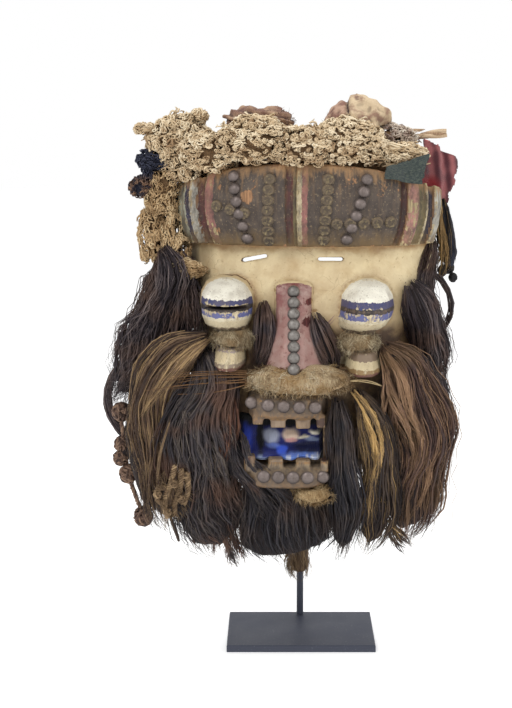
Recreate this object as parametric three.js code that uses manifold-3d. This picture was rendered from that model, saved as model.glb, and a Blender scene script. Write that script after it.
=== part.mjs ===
// A guere mask on its museum stand.
// Millimetres, +Z up. The mask looks along -Y and +X is at the viewer's right hand.
// The origin is the middle of the underside of the stand's plate.
import * as THREE from 'three';
import { mergeVertices } from 'three/addons/utils/BufferGeometryUtils.js';
import Module from 'manifold-3d';

const wasm = await Module();
wasm.setup();

// Driving sizes of the stand.
const PLATE = { width: 126, depth: 84, height: 6, edge: 0.8 };
const ROD = { radius: 3, back: 36, top: 352, lowerArm: 157, reach: -60 };

// The mask is turned a little to the viewer's left on its rod, about an upright
// line through TURN.x. Forms of the head are given in the mask's own turned frame.
const TURN = { x: 3.5, angle: THREE.MathUtils.degToRad(6) };

// Driving sizes of the carving.
const WALL = 12;
const BAND = {
  halfWidth: 112, depth: 62, back: 12, bottom: 344, top: 410, drop: 23, taper: 0.04, bulge: 8,
  inside: -20, edge: 0.4, step: 18,
};
const BAND_ROUND = 2.2;
// The two slits through the brow, which fall inwards: middle, height and tilt of each.
const SLIT = { height: 3.5, width: 22, left: [-39, 334, 10], right: [23, 333, 0], fall: 7, face: -36 };
const TACK = { radius: 4.7, noseRadius: 4.1, dome: 3.2, worn: 1.4, pin: 2, seat: 0.9 };

// Space left between neighbours, so that no two pieces touch, and the smallest step kept.
const GAP = 0.5;
const FINE = 0.1;

// Upright stripes of the forehead band from the viewer's left: width, height of relief.
const STRIPES = [
  { name: 'left end', width: 11.5, relief: 0 },
  { name: 'navy groove', width: 5.5, relief: -2 },
  { name: 'white ridge', width: 8, relief: 3.5 },
  { name: 'maroon groove', width: 12, relief: -4 },
  { name: 'pink edge', width: 6, relief: 0.8 },
  { name: 'left panel', width: 58, relief: 0 },
  { name: 'maroon', width: 5, relief: -1.6 },
  { name: 'olive', width: 4, relief: -0.6 },
  { name: 'cream ridge', width: 3, relief: 2 },
  { name: 'pink ridge', width: 5, relief: 1.2 },
  { name: 'right panel', width: 71, relief: 0 },
  { name: 'maroon groove', width: 5, relief: -2.6 },
  { name: 'pink ridge', width: 9, relief: 3 },
  { name: 'olive', width: 5.5, relief: 0 },
  { name: 'cream line', width: 2.5, relief: 1 },
  { name: 'navy groove', width: 4.5, relief: -2 },
  { name: 'white ridge', width: 6, relief: 1.8 },
  { name: 'right end', width: 2.5, relief: 0 },
];

// Lines of upholstery tacks on the band: first and last place [across, height], how many.
const FOREHEAD_TACKS = [
  { from: [-52, 400], to: [-44, 350], count: 6, dome: TACK.dome },
  { from: [-65, 376], to: [-43, 371], count: 3, dome: TACK.worn },
  { from: [-23, 398], to: [-26, 349], count: 7, dome: TACK.worn },
  { from: [22, 398], to: [19, 350], count: 7, dome: TACK.worn },
  { from: [51, 398], to: [38, 350], count: 6, dome: TACK.dome },
  { from: [29, 363], to: [70, 364], count: 5, dome: TACK.worn },
];

// Each upright form is a stack of rows: height, middle, half width, front, back.
const HEAD_ROWS = [
  [412, 0, 96, -27, 34],
  [372, 0, 107, -40, 34],
  [345, 0, 107, -32, 34],
  [330, 0, 106, -35, 34],
  [316, 0, 105, -40, 34],
  [290, 0, 102, -44, 34],
  [255, -2, 95, -47, 33],
  [225, -4, 87, -50, 32],
  [190, -6, 79, -52, 30],
  [160, -7, 68, -50, 27],
  [145, -8, 54, -44, 24],
  [136, -8, 38, -34, 21],
  [132, -8, 24, -22, 18],
];
const HOLLOW_TRIM = { roof: 10, floor: 13, behind: 30 };

const LEFT_EYE_ROWS = [
  [319.5, -61, 8, -49],
  [315, -61, 17, -61],
  [307, -61, 21.5, -72],
  [298, -60.6, 22.5, -78],
  [289, -60.6, 21.5, -75],
  [281, -60.5, 19, -68],
  [277.5, -58, 14.5, -62],
  [266, -57, 12, -60],
  [264.5, -58, 12.5, -73],
  [251, -60, 15.5, -79],
  [247, -60, 14, -76],
];
const RIGHT_EYE_ROWS = [
  [318.5, 53, 8, -49],
  [313.5, 53, 17.5, -62],
  [305, 52.6, 22, -73],
  [295, 52.6, 23, -79],
  [286, 51, 22, -76],
  [279.5, 49, 20, -68],
  [276, 47, 14.5, -62],
  [263, 46, 12, -60],
  [261.5, 49.5, 13.5, -74],
  [246.5, 49.5, 17, -80],
  [242.5, 49.5, 15, -77],
];
const EYE_SLITS = [
  { x: -60.6, height: 298 },
  { x: 52.6, height: 295 },
];
const EYE_SLIT = { halfWidth: 30, thick: 3, front: -95, bottom: -56 };

const NOSE_ROWS = [
  [316, -7, 12, -44],
  [312, -7, 14, -50],
  [300, -7, 14.5, -56],
  [281, -7, 15.5, -63],
  [263, -6, 19, -71],
  [248, -4.5, 24.5, -77],
  [241, -4.5, 22, -68],
];

const UPPER_LIP_ROWS = [
  [228, -12, 30, -68],
  [223, -12, 32.5, -74.5],
  [210, -12, 32, -74],
  [207.5, -12, 31, -70],
];
const LOWER_LIP_ROWS = [
  [166.5, -14, 34, -68],
  [163, -14, 36, -73],
  [152, -13, 34, -72.5],
  [149, -12, 31, -66],
];
const MOUTH = { left: -51, right: 17, bottom: 171, top: 206, front: -90, back: -20 };

// Teeth: left side, width and the height of the free edge.
const UPPER_TEETH = [[-40, 8.5, 202.5], [-25.5, 12, 200], [-5, 11.5, 199], [11.5, 7, 200]];
const LOWER_TEETH = [[-47, 9, 176.5], [-27.5, 12, 174], [-5, 11.5, 173], [15, 6, 172.5]];
const TOOTH = { front: -68, back: -56, root: 3 };

// How each form of the face is rounded: back plane, roundness and number of sides.
const SHAPE = {
  head: { roundness: 2.5, sides: 16 },
  hollow: { roundness: 2.5, sides: 12 },
  eye: { back: -28, roundness: 2.2, sides: 10 },
  nose: { back: -34, roundness: 1.7, sides: 10, ridge: -7 },
  upperLip: { back: -36, roundness: 3.6, sides: 11 },
  lowerLip: { back: -34, roundness: 3.6, sides: 11 },
};

// Finishes, by their colour, roughness and metalness.
function finish(colour, roughness = 0.85, metalness = 0) {
  return new THREE.MeshStandardMaterial({ color: colour, roughness, metalness });
}
const FINISH = {
  steel: finish('#2b2d33', 0.45, 0.6),
  wood: finish('#a08a6e', 0.8),
  tack: finish('#7a7068', 0.45, 0.8),
  fur: finish('#b79f80', 0.95),
  darkHair: finish('#3d3436', 0.7),
  brownHair: finish('#6c5640', 0.7),
  redHair: finish('#704f3f', 0.7),
  blackHair: finish('#27252e', 0.65),
  yarn: finish('#c1a786', 0.95),
  hide: finish('#94785f', 0.85),
  blueCloth: finish('#32408f', 0.9),
  greenCloth: finish('#42423d', 0.9),
  redCloth: finish('#7a3c40', 0.9),
  brownCloth: finish('#6b4a44', 0.9),
};

const part = new THREE.Group();

// Moves every point of a unit shape to its place on the object.
function moulded(geometry, place) {
  const positions = geometry.attributes.position;
  const point = new THREE.Vector3();
  for (let i = 0; i < positions.count; i += 1) {
    const { x, y, z } = place(point.fromBufferAttribute(positions, i));
    positions.setXYZ(i, x, y, z);
  }
  return geometry;
}

// Six times the volume inside a closed skin of triangles, negative when it is inside out.
function signedVolume(points, triangles) {
  const [a, b, c] = [new THREE.Vector3(), new THREE.Vector3(), new THREE.Vector3()];
  let volume = 0;
  for (let i = 0; i < triangles.length; i += 3) {
    a.fromArray(points, triangles[i] * 3);
    b.fromArray(points, triangles[i + 1] * 3);
    c.fromArray(points, triangles[i + 2] * 3);
    volume += a.dot(b.cross(c));
  }
  return volume;
}

// Turns a closed geometry into a solid that can be joined and cut.
function solidOf(geometry) {
  geometry.deleteAttribute('normal');
  geometry.deleteAttribute('uv');
  const merged = mergeVertices(geometry, 0.001);
  const vertProperties = Float32Array.from(merged.attributes.position.array);
  const triVerts = Uint32Array.from(merged.index.array);
  if (signedVolume(vertProperties, triVerts) < 0) {
    for (let i = 0; i < triVerts.length; i += 3) {
      [triVerts[i], triVerts[i + 1]] = [triVerts[i + 1], triVerts[i]];
    }
  }
  return new wasm.Manifold(new wasm.Mesh({ numProp: 3, vertProperties, triVerts }));
}

function joined(solids) {
  return solids.reduce((whole, next) => whole.add(next));
}

// The biggest separate body of a solid, after cuts have left crumbs.
function biggest(solid) {
  return solid.decompose().reduce((best, next) => (next.volume() > best.volume() ? next : best));
}

// Adds a solid to the object as a named piece.
function addPiece(name, solid, material) {
  const { vertProperties, triVerts } = solid.simplify(FINE).getMesh();
  const geometry = new THREE.BufferGeometry();
  geometry.setAttribute('position', new THREE.BufferAttribute(vertProperties, 3));
  geometry.setIndex(new THREE.BufferAttribute(triVerts, 1));
  geometry.computeVertexNormals();
  const mesh = new THREE.Mesh(geometry, material);
  mesh.name = name;
  part.add(mesh);
}

// A box between two corners.
function block(low, high) {
  const size = high.map((value, i) => value - low[i]);
  const box = new THREE.BoxGeometry(...size);
  box.translate(...low.map((value, i) => value + size[i] / 2));
  return solidOf(box);
}

function power(value, exponent) {
  return Math.sign(value) * Math.abs(value) ** exponent;
}

// Where a corner of a unit drum goes on a rounded front: across from -1 to 1, out from
// the back plane to 1. All sides but two lie round the front and two close the back.
function frontPlace({ x, z }, sides, roundness) {
  if (Math.hypot(x, z) < 0.5) {
    return [0, 0.5];
  }
  const corner = Math.round((Math.atan2(x, z) / (2 * Math.PI) + 1) * sides) % sides;
  if (corner === sides - 1) {
    return [0, -0.02];
  }
  const angle = Math.PI * (corner / (sides - 2) - 0.5);
  return [power(Math.sin(angle), 2 / roundness), power(Math.cos(angle), 2 / roundness)];
}

// A stack of rows with a rounded front: roundness 2 is an ellipse, more is boxier.
function form(rows, { back = 0, roundness, sides, ridge = null, grow = 0 }) {
  const levels = rows.length - 1;
  const unit = new THREE.CylinderGeometry(1, 1, 1, sides, levels);
  return solidOf(moulded(unit, (point) => {
    const level = Math.round((0.5 - point.y) * levels);
    const [height, middle, halfWidth, front, rowBack = back] = rows[level];
    const edge = (level === 0 ? grow : 0) - (level === levels ? grow : 0);
    const [across, out] = frontPlace(point, sides, roundness);
    const lean = ridge === null ? 0 : (ridge - middle) * Math.max(out, 0);
    return {
      x: middle + across * (halfWidth + grow) + lean,
      y: rowBack + grow - out * (rowBack - front + 2 * grow),
      z: height + edge,
    };
  }));
}

// Turns a form of the head from the mask's own frame to the stand's frame.
function turnPlace({ x, y, z }) {
  return {
    x: TURN.x + x * Math.cos(TURN.angle) + y * Math.sin(TURN.angle),
    y: y * Math.cos(TURN.angle) - x * Math.sin(TURN.angle),
    z,
  };
}
function turned(solid) {
  return solid.warp((point) => {
    const { x, y } = turnPlace({ x: point[0], y: point[1], z: point[2] });
    point[0] = x;
    point[1] = y;
  });
}

// A place on the forehead band: across it, up it from 0 to 1, and out of its face.
function bandPlace(across, up, out) {
  const share = THREE.MathUtils.clamp(across / BAND.halfWidth, -1, 1);
  const angle = Math.asin(power(share, BAND_ROUND / 2));
  const reach = BAND.depth * Math.cos(angle) ** (2 / BAND_ROUND);
  const bulge = BAND.bulge * (1 - Math.abs(2 * up - 1.1) ** 2.2) * (1 - 0.75 * share ** 4);
  const top = BAND.top - BAND.drop * Math.abs(share) ** 2.6;
  return new THREE.Vector3(
    across * (1 - BAND.taper * (1 - up)) + Math.sin(angle) * (out + bulge),
    BAND.back - reach - Math.cos(angle) * (out + bulge),
    THREE.MathUtils.lerp(BAND.bottom, top, up),
  );
}

// Columns of the band: each stripe is a few upright lines with its own relief.
function bandColumns() {
  const columns = [];
  let start = -BAND.halfWidth + BAND.edge;
  for (const { width, relief } of STRIPES) {
    const rounded = Math.abs(relief) > 1.9 && width > 4;
    const steps = Math.max(rounded ? 2 : 1, Math.ceil(width / BAND.step));
    for (let i = 0; i <= steps; i += 1) {
      const crown = rounded ? 0.5 + 0.5 * Math.sin((Math.PI * i) / steps) : 1;
      columns.push([start + ((width - 2 * BAND.edge) * i) / steps, relief * crown]);
    }
    start += width;
  }
  return columns;
}

function band(grow) {
  const columns = bandColumns();
  const last = columns.length - 1;
  const inside = BAND.inside - grow;
  const unit = new THREE.BoxGeometry(1, 1, 1, last, 1, 3);
  return solidOf(moulded(unit, (point) => {
    const [across, relief] = columns[Math.round((point.x + 0.5) * last)];
    const out = point.y < 0 ? relief + grow : inside;
    const place = bandPlace(across, point.z + 0.5, out);
    place.z += Math.sign(point.z) * (Math.abs(point.z) > 0.49 ? grow : 0);
    place.x += Math.sign(across) * (Math.abs(across) > BAND.halfWidth - 1 ? grow : 0);
    return place;
  }));
}

// A round tack with its flat back on a spot and its dome out along a direction.
function tack(spot, direction, { dome, size = TACK.radius, root = 0, sides = 7, grow = 0 }) {
  const radius = size + grow;
  const height = dome + grow;
  const base = -root - grow;
  const shoulder = dome > TACK.worn ? [0.66 * radius, 0.8 * height] : [0.9 * radius, height];
  const profile = [[0, base], [1.04 * radius, base], shoulder, [0, height]];
  const shape = new THREE.LatheGeometry(profile.map(([x, y]) => new THREE.Vector2(x, y)), sides);
  const turn = new THREE.Quaternion().setFromUnitVectors(new THREE.Vector3(0, 1, 0), direction);
  shape.applyQuaternion(turn);
  shape.translate(spot.x, spot.y, spot.z);
  return solidOf(shape);
}

// The tacks of the forehead, each square to the band's face.
function foreheadTacks(grow) {
  const tacks = [];
  for (const { from, to, count, dome } of FOREHEAD_TACKS) {
    for (let i = 0; i < count; i += 1) {
      const share = i / (count - 1);
      const across = THREE.MathUtils.lerp(from[0], to[0], share);
      const height = THREE.MathUtils.lerp(from[1], to[1], share);
      const top = bandPlace(across, 1, 0).z;
      const up = (height - BAND.bottom) / (top - BAND.bottom);
      const spot = bandPlace(across, up, 0);
      const side = bandPlace(across + 1, up, 0).sub(spot);
      const rise = bandPlace(across, up + 0.02, 0).sub(spot);
      tacks.push(tack(spot, side.cross(rise).normalize(), { dome, root: TACK.pin, sides: 6, grow }));
    }
  }
  return tacks;
}

// The teeth stand on the edges of both lips, rooted a little way into them.
function teeth(grow) {
  const roof = UPPER_LIP_ROWS.at(-1)[0] + TOOTH.root;
  const floor = LOWER_LIP_ROWS[0][0] - TOOTH.root;
  const hanging = UPPER_TEETH.map(([left, width, free]) => [left, width, free, roof]);
  const standing = LOWER_TEETH.map(([left, width, free]) => [left, width, floor, free]);
  return [...hanging, ...standing].map(([left, width, bottom, top]) => block(
    [left - grow, TOOTH.front - grow, bottom - grow],
    [left + width + grow, TOOTH.back + grow, top + grow],
  ));
}

// Everything that is carved on the outside of the block of wood.
function carving(grow) {
  const head = form(HEAD_ROWS, { ...SHAPE.head, grow });
  return joined([
    turned(joined([head, band(grow), ...foreheadTacks(grow)])),
    form(LEFT_EYE_ROWS, { ...SHAPE.eye, grow }),
    form(RIGHT_EYE_ROWS, { ...SHAPE.eye, grow }),
    form(NOSE_ROWS, { ...SHAPE.nose, grow }),
    form(UPPER_LIP_ROWS, { ...SHAPE.upperLip, grow }),
    form(LOWER_LIP_ROWS, { ...SHAPE.lowerLip, grow }),
  ]);
}

// The wearer's side, open at the back, with walls of one thickness.
function hollow(grow = 0) {
  const roof = HEAD_ROWS[0][0] - HOLLOW_TRIM.roof;
  const floor = HEAD_ROWS.at(-1)[0] + HOLLOW_TRIM.floor;
  const rows = HEAD_ROWS.filter(([height]) => height < roof && height > floor + 10);
  const inner = rows.map(([height, middle, halfWidth, front, back]) => [
    height, middle, halfWidth - WALL, front + WALL, back + HOLLOW_TRIM.behind,
  ]);
  const first = inner[0];
  const last = inner.at(-1);
  inner.unshift([roof, first[1], first[2] - 8, first[3] + 6, first[4]]);
  inner.push([floor, last[1], last[2] - 14, last[3] + 8, last[4]]);
  return turned(form(inner, { ...SHAPE.hollow, grow }));
}

// The open mouth, cut through the wall.
function mouth(grow = 0) {
  const { left, right, bottom, top, front, back } = MOUTH;
  return block([left - grow, front, bottom - grow], [right + grow, back, top + grow]);
}

function maskWood() {
  const cuts = [hollow(), mouth()];
  for (const [x, height, tilt] of [SLIT.left, SLIT.right]) {
    const slot = new THREE.BoxGeometry(SLIT.width, -MOUTH.front, SLIT.height);
    slot.translate(0, MOUTH.front / 2 - SLIT.face, 0);
    slot.rotateX(THREE.MathUtils.degToRad(-SLIT.fall));
    slot.rotateY(THREE.MathUtils.degToRad(-tilt));
    slot.translate(x, SLIT.face, height);
    cuts.push(solidOf(slot));
  }
  for (const { x, height } of EYE_SLITS) {
    cuts.push(block(
      [x - EYE_SLIT.halfWidth, EYE_SLIT.front, height - EYE_SLIT.thick / 2],
      [x + EYE_SLIT.halfWidth, EYE_SLIT.bottom, height + EYE_SLIT.thick / 2],
    ));
  }
  return joined([carving(0).subtract(joined(cuts)), ...teeth(0)]);
}

addPiece('mask', biggest(maskWood()), FINISH.wood);

// The stand: a flat painted plate, and a round rod with two short arms that reach
// forward to the inside of the forehead and of the chin.
function plate() {
  const { width, depth, height, edge } = PLATE;
  const outline = new THREE.Shape();
  outline.moveTo(-width / 2, -depth / 2);
  outline.lineTo(width / 2, -depth / 2);
  outline.lineTo(width / 2, depth / 2);
  outline.lineTo(-width / 2, depth / 2);
  const bevel = { bevelThickness: edge, bevelSize: edge, bevelOffset: -edge, bevelSegments: 1 };
  const slab = new THREE.ExtrudeGeometry(outline, { depth: height - edge, ...bevel });
  return solidOf(slab).intersect(block([-width, -depth, 0], [width, depth, height]));
}

function bar(from, to, radius) {
  const line = new THREE.LineCurve3(new THREE.Vector3(...from), new THREE.Vector3(...to));
  const section = new THREE.Shape().absarc(0, 0, radius, 0, 2 * Math.PI);
  const options = { steps: 1, curveSegments: 6, extrudePath: line };
  return solidOf(new THREE.ExtrudeGeometry(section, options));
}

function upright(grow) {
  const { radius, back, top } = ROD;
  return bar([0, back, PLATE.height + GAP - grow], [0, back, top + radius + grow], radius + grow);
}

function rod() {
  const { radius, back, top, lowerArm, reach } = ROD;
  const forehead = bar([0, back, top], [0, reach, top], radius);
  const chin = bar([0, back, lowerArm], [0, reach, lowerArm], radius);
  const walls = carving(GAP).subtract(hollow(-GAP));
  return biggest(joined([upright(0), forehead, chin]).subtract(walls));
}

addPiece('stand_plate', plate(), FINISH.steel);
addPiece('stand_rod', rod(), FINISH.steel);

// Space that is already filled. Each later piece is cut clear of it.
let taken = joined([carving(GAP).subtract(mouth(-GAP)), ...teeth(GAP), upright(GAP)]);

// Adds a soft or small piece, cut clear of all that was there before.
function settle(name, shape, material) {
  addPiece(name, biggest(shape(0).subtract(taken)), material);
  taken = taken.add(shape(GAP));
}

// The front of a form at one height, on its middle line moved across by some way.
function frontOf(rows, { back, roundness, ridge = null }, x, height) {
  const level = rows.findIndex(([rowHeight]) => rowHeight <= height);
  const [upper, lower] = [rows[level - 1], rows[level]];
  const share = (upper[0] - height) / (upper[0] - lower[0]);
  const row = upper.map((value, i) => THREE.MathUtils.lerp(value, lower[i], share));
  const [, middle, halfWidth, front] = row;
  const across = ridge === null ? Math.abs((x - middle) / halfWidth) : 0;
  return back - (back - front) * (1 - across ** roundness) ** (1 / roundness);
}

// Separate tacks in a line down the nose and along both lips: first and last [across, height].
const FACE_TACKS = [
  {
    name: 'nose_tack', rows: NOSE_ROWS, shape: SHAPE.nose, size: TACK.noseRadius, tilt: 0.25,
    from: [-7, 308.5], to: [-7, 249.5], count: 8,
  },
  {
    name: 'upper_lip_tack', rows: UPPER_LIP_ROWS, shape: SHAPE.upperLip, size: TACK.radius, tilt: 0,
    from: [-40, 220.5], to: [10, 217.5], count: 5,
  },
  {
    name: 'lower_lip_tack', rows: LOWER_LIP_ROWS, shape: SHAPE.lowerLip, size: TACK.radius, tilt: 0,
    from: [-31, 161], to: [16, 159.5], count: 5,
  },
];
for (const { name, rows, shape, size, tilt, from, to, count } of FACE_TACKS) {
  for (let i = 0; i < count; i += 1) {
    const x = THREE.MathUtils.lerp(from[0], to[0], i / (count - 1));
    const height = THREE.MathUtils.lerp(from[1], to[1], i / (count - 1));
    const spot = new THREE.Vector3(x, frontOf(rows, shape, x, height) - TACK.seat, height);
    const out = new THREE.Vector3(0, -1, tilt).normalize();
    const stud = (grow) => tack(spot, out, { dome: TACK.dome, size, grow });
    settle(`${name}_${i + 1}`, stud, FINISH.tack);
  }
}

// A lump of curled yarn, cloth or fur: a ball of three radii with an uneven skin.
function clump([x, y, z], radii, lumps, sides = 9) {
  return (grow) => {
    const ball = new THREE.SphereGeometry(1, sides, Math.round(sides * 0.52));
    ball.rotateX(Math.PI / 2);
    return solidOf(moulded(ball, (point) => {
      const wave = Math.sin(5.1 * point.x + 3.3 * point.y + x) * Math.cos(4.7 * point.z + z);
      const swell = 1 + lumps * wave;
      return {
        x: x + point.x * (radii[0] * swell + grow),
        y: y + point.y * (radii[1] * swell + grow),
        z: z + point.z * (radii[2] * swell + grow),
      };
    }));
  };
}

// A lock of hair along a curve through [x, y, z, half width] places, blunt at both ends.
// Its section is ridged like combed strands, and no deeper than a share of its width.
const LOCK = { sides: 7, rings: 6, comb: 0.08, deepest: 1.4, tip: 3 };
function lock(places, { thick, sides = LOCK.sides, rings = LOCK.rings }) {
  const curve = new THREE.CatmullRomCurve3(places.map(([x, y, z]) => new THREE.Vector3(x, y, z)));
  const widthAt = (share) => {
    const at = share * (places.length - 1);
    const index = Math.min(Math.floor(at), places.length - 2);
    return THREE.MathUtils.lerp(places[index][3], places[index + 1][3], at - index);
  };
  return (grow) => {
    const ball = new THREE.SphereGeometry(1, sides, rings);
    return solidOf(moulded(ball, ({ x, y, z }) => {
      const share = (1 - y) / 2;
      const along = curve.getTangent(share);
      const across = new THREE.Vector3(0, -1, 0).cross(along).normalize();
      const deep = along.clone().cross(across).normalize();
      const spot = curve.getPoint(share);
      if (Math.abs(y) > 0.999) {
        return spot.addScaledVector(along, -Math.sign(y) * (LOCK.tip + grow));
      }
      const angle = Math.atan2(z, x);
      const ridge = 1 + LOCK.comb * Math.cos((sides / 2) * angle);
      const half = widthAt(share) * ridge;
      const depth = Math.min(thick * ridge, half * LOCK.deepest);
      spot.addScaledVector(across, Math.cos(angle) * (half + grow));
      return spot.addScaledVector(deep, Math.sin(angle) * (depth + grow));
    }));
  };
}

// Fur wrapped round the wooden necks under the eyes, and glued under nose and chin.
settle('left_eye_fur', clump([-56.5, -54, 271.5], [17.5, 22, 11], 0.06, 8), FINISH.fur);
settle('right_eye_fur', clump([45.5, -54, 268.5], [17, 22, 11.5], 0.06, 8), FINISH.fur);
settle('moustache_fur', clump([-2, -66, 239.5], [45, 18, 14.5], 0.06, 10), FINISH.fur);
settle('chin_fur', clump([9, -58, 143.5], [17, 14, 9], 0.06), FINISH.fur);

// Twisted fibre cord in front of the left jaw, and the long locks of hair.
const LOCKS = [
  {
    name: 'raffia_twist', finish: FINISH.yarn, thick: 5,
    places: [[-101, -60, 166, 4], [-104, -58, 150, 6], [-109, -55, 128, 5]],
  },
  {
    name: 'left_brown_lock', finish: FINISH.brownHair, thick: 12,
    places: [[-76, -58, 274, 8], [-97, -55, 261, 17], [-118, -48, 236, 21], [-128, -42, 200, 20],
      [-129, -37, 157, 17], [-122, -32, 118, 10]],
  },
  {
    name: 'left_jaw_hair', finish: FINISH.darkHair, thick: 18,
    places: [[-80, -36, 264, 9], [-71, -54, 236, 22], [-82, -53, 205, 31], [-83, -45, 164, 36],
      [-78, -37, 123, 35], [-66, -32, 90, 20]],
  },
  {
    name: 'nose_hair_left', finish: FINISH.darkHair, thick: 10,
    places: [[-31, -44, 300, 5], [-30, -50, 277, 10], [-32, -52, 259, 9], [-37, -56, 247, 5]],
  },
  {
    name: 'nose_hair_right', finish: FINISH.darkHair, thick: 10,
    places: [[9, -44, 290, 5], [17, -50, 268, 10], [22, -52, 254, 10], [24, -56, 242, 5]],
  },
  {
    name: 'right_black_lock', finish: FINISH.blackHair, thick: 10,
    places: [[28, -66, 224, 8], [31, -64, 197, 11], [34, -60, 163, 13], [37, -52, 127, 15],
      [33, -44, 90, 11]],
  },
  {
    name: 'right_golden_lock', finish: FINISH.brownHair, thick: 11,
    places: [[44, -64, 231, 7], [56, -61, 205, 13], [63, -55, 170, 17], [62, -47, 130, 18],
      [56, -40, 93, 10]],
  },
  {
    name: 'right_brown_lock', finish: FINISH.redHair, thick: 17,
    places: [[65, -56, 267, 8], [81, -53, 250, 18], [92, -47, 219, 25], [97, -41, 184, 27],
      [91, -36, 142, 27], [83, -30, 103, 15]],
  },
  {
    name: 'left_temple_hair', finish: FINISH.darkHair, thick: 26,
    places: [[-116, 0, 341, 9], [-106, -8, 322, 19], [-110, -10, 297, 25], [-121, -8, 267, 27],
      [-139, -4, 239, 18], [-153, 0, 213, 9]],
  },
  {
    name: 'right_temple_hair', finish: FINISH.darkHair, thick: 24,
    places: [[88, -32, 314, 9], [98, -28, 294, 15], [106, -19, 266, 16], [111, -8, 238, 11]],
  },
  {
    name: 'left_side_hair', finish: FINISH.darkHair, thick: 24,
    places: [[-113, 6, 262, 27], [-118, 8, 222, 28], [-120, 8, 182, 26], [-117, 6, 142, 25],
      [-105, 2, 104, 16]],
  },
  {
    name: 'right_side_hair', finish: FINISH.darkHair, thick: 22,
    places: [[107, 6, 252, 11], [110, 10, 220, 14], [110, 10, 180, 16], [105, 6, 137, 16],
      [90, 2, 100, 11]],
  },
  {
    name: 'beard', finish: FINISH.blackHair, thick: 16,
    places: [[-17, -38, 154, 44], [-14, -42, 122, 50], [-13, -38, 101, 47], [-11, -32, 87, 32]],
  },
  {
    name: 'rod_tuft', finish: FINISH.yarn, thick: 9,
    places: [[-1, 34, 84, 5], [-1, 34, 66, 9], [-1, 34, 44, 11]],
  },
];
for (const { name, finish: look, thick, places } of LOCKS) {
  settle(name, lock(places, { thick }), look);
}

// Thin locks that stand out from the hair and come back to it in a loop.
function loop(places, radius) {
  const curve = new THREE.CatmullRomCurve3(places.map((place) => new THREE.Vector3(...place)));
  return (grow) => {
    const section = new THREE.Shape().absarc(0, 0, radius + grow, 0, 2 * Math.PI);
    const options = { steps: 6, curveSegments: 2, extrudePath: curve };
    return solidOf(new THREE.ExtrudeGeometry(section, options));
  };
}
const LOOP_RADIUS = 2.5;
const LEFT_LOOP = [[-152, 4, 238], [-164, 4, 220], [-165, 4, 202], [-155, 4, 184], [-140, 4, 170]];
const RIGHT_LOOP = [[102, 4, 320], [117, 4, 312], [126, 4, 294], [124, 4, 276], [113, 4, 262]];
settle('left_loop_strand', loop(LEFT_LOOP, LOOP_RADIUS), FINISH.darkHair);
settle('right_loop_strand', loop(RIGHT_LOOP, LOOP_RADIUS), FINISH.darkHair);

// Short cords with knots, hanging at the outside of the left hair.
const KNOT = { cord: 1.8, big: [7.5, 7.5, 8], small: [6.5, 6.5, 7], sides: 5 };
const KNOTS = [[-153, -6, 200], [-149, -6, 166], [-147, -6, 145], [-135, -4, 108]];
settle('left_knots', (grow) => joined([
  loop(KNOTS, KNOT.cord)(grow),
  ...KNOTS.map((middle, i) => {
    const radii = i === 2 ? KNOT.small : KNOT.big;
    return clump(middle, radii, 0, KNOT.sides)(grow);
  }),
]), FINISH.brownHair);

// A cloth scrap: a thin slab over four corners, rippled along its width.
function scrap(corners, { thick, folds, depth }) {
  const [a, b, c, d] = corners.map((corner) => new THREE.Vector3(...corner));
  const normal = b.clone().sub(a).cross(d.clone().sub(a)).normalize();
  const height = d.distanceTo(a);
  return (grow) => {
    const slab = new THREE.BoxGeometry(1, 1, 1, 7, 1, 2);
    const wider = 1 + (2 * grow) / height;
    return solidOf(moulded(slab, ({ x, y, z }) => {
      const [u, v] = [x * wider + 0.5, z * wider + 0.5];
      const spot = a.clone().lerp(b, u).lerp(d.clone().lerp(c, u), v);
      const ripple = depth * Math.sin(2 * Math.PI * folds * u);
      return spot.addScaledVector(normal, ripple + Math.sign(y) * (thick / 2 + grow));
    }));
  };
}

// A crumpled blue cloth closes the mouth behind the teeth.
const MOUTH_CLOTH = [[-50, -49, 172], [16, -49, 172], [16, -42, 205], [-50, -42, 205]];
settle('mouth_cloth', scrap(MOUTH_CLOTH, { thick: 7, folds: 2.5, depth: 2.5 }), FINISH.blueCloth);

// Cloth and curled yarn heaped on the crown and hung at the ends of the band.
const GREEN_CLOTH = [[64, -54, 399], [98, -42, 397], [103, -33, 419], [66, -47, 408]];
const RED_CLOTH = [[98, -8, 384], [128, 6, 378], [130, 8, 424], [106, -6, 427]];
settle('green_cloth', scrap(GREEN_CLOTH, { thick: 4, folds: 1.5, depth: 1.5 }), FINISH.greenCloth);
settle('red_cloth', scrap(RED_CLOTH, { thick: 8, folds: 1.5, depth: 3 }), FINISH.redCloth);
const HEAP = [
  ['yarn_mid', [1, -42, 422], [25, 23, 17], FINISH.yarn],
  ['yarn_mid_left', [-38, -34, 426], [31, 26, 20], FINISH.yarn],
  ['yarn_right', [35, -36, 425], [32, 24, 20], FINISH.yarn],
  ['yarn_left', [-75, -23, 417], [26, 25, 18], FINISH.yarn],
  ['yarn_left_end', [-101, -3, 424], [26, 27, 24], FINISH.yarn],
  ['cord_cluster', [79, -24, 416], [23, 18, 10], FINISH.yarn],
  ['fleece_tuft', [74, -8, 429], [19, 20, 11], FINISH.fur],
  ['brown_cloth_bundle', [-34, -2, 442], [30, 24, 13], FINISH.brownCloth],
  ['hide_bundle', [45, -4, 442], [29, 26, 22], FINISH.hide],
  ['yarn_left_upper', [-114, 0, 386], [15, 20, 24], FINISH.yarn],
  ['yarn_left_lower', [-121, 6, 348], [15, 19, 27], FINISH.yarn],
];
for (const [name, middle, radii, look] of HEAP) {
  settle(name, clump(middle, radii, 0.12), look);
}
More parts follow.
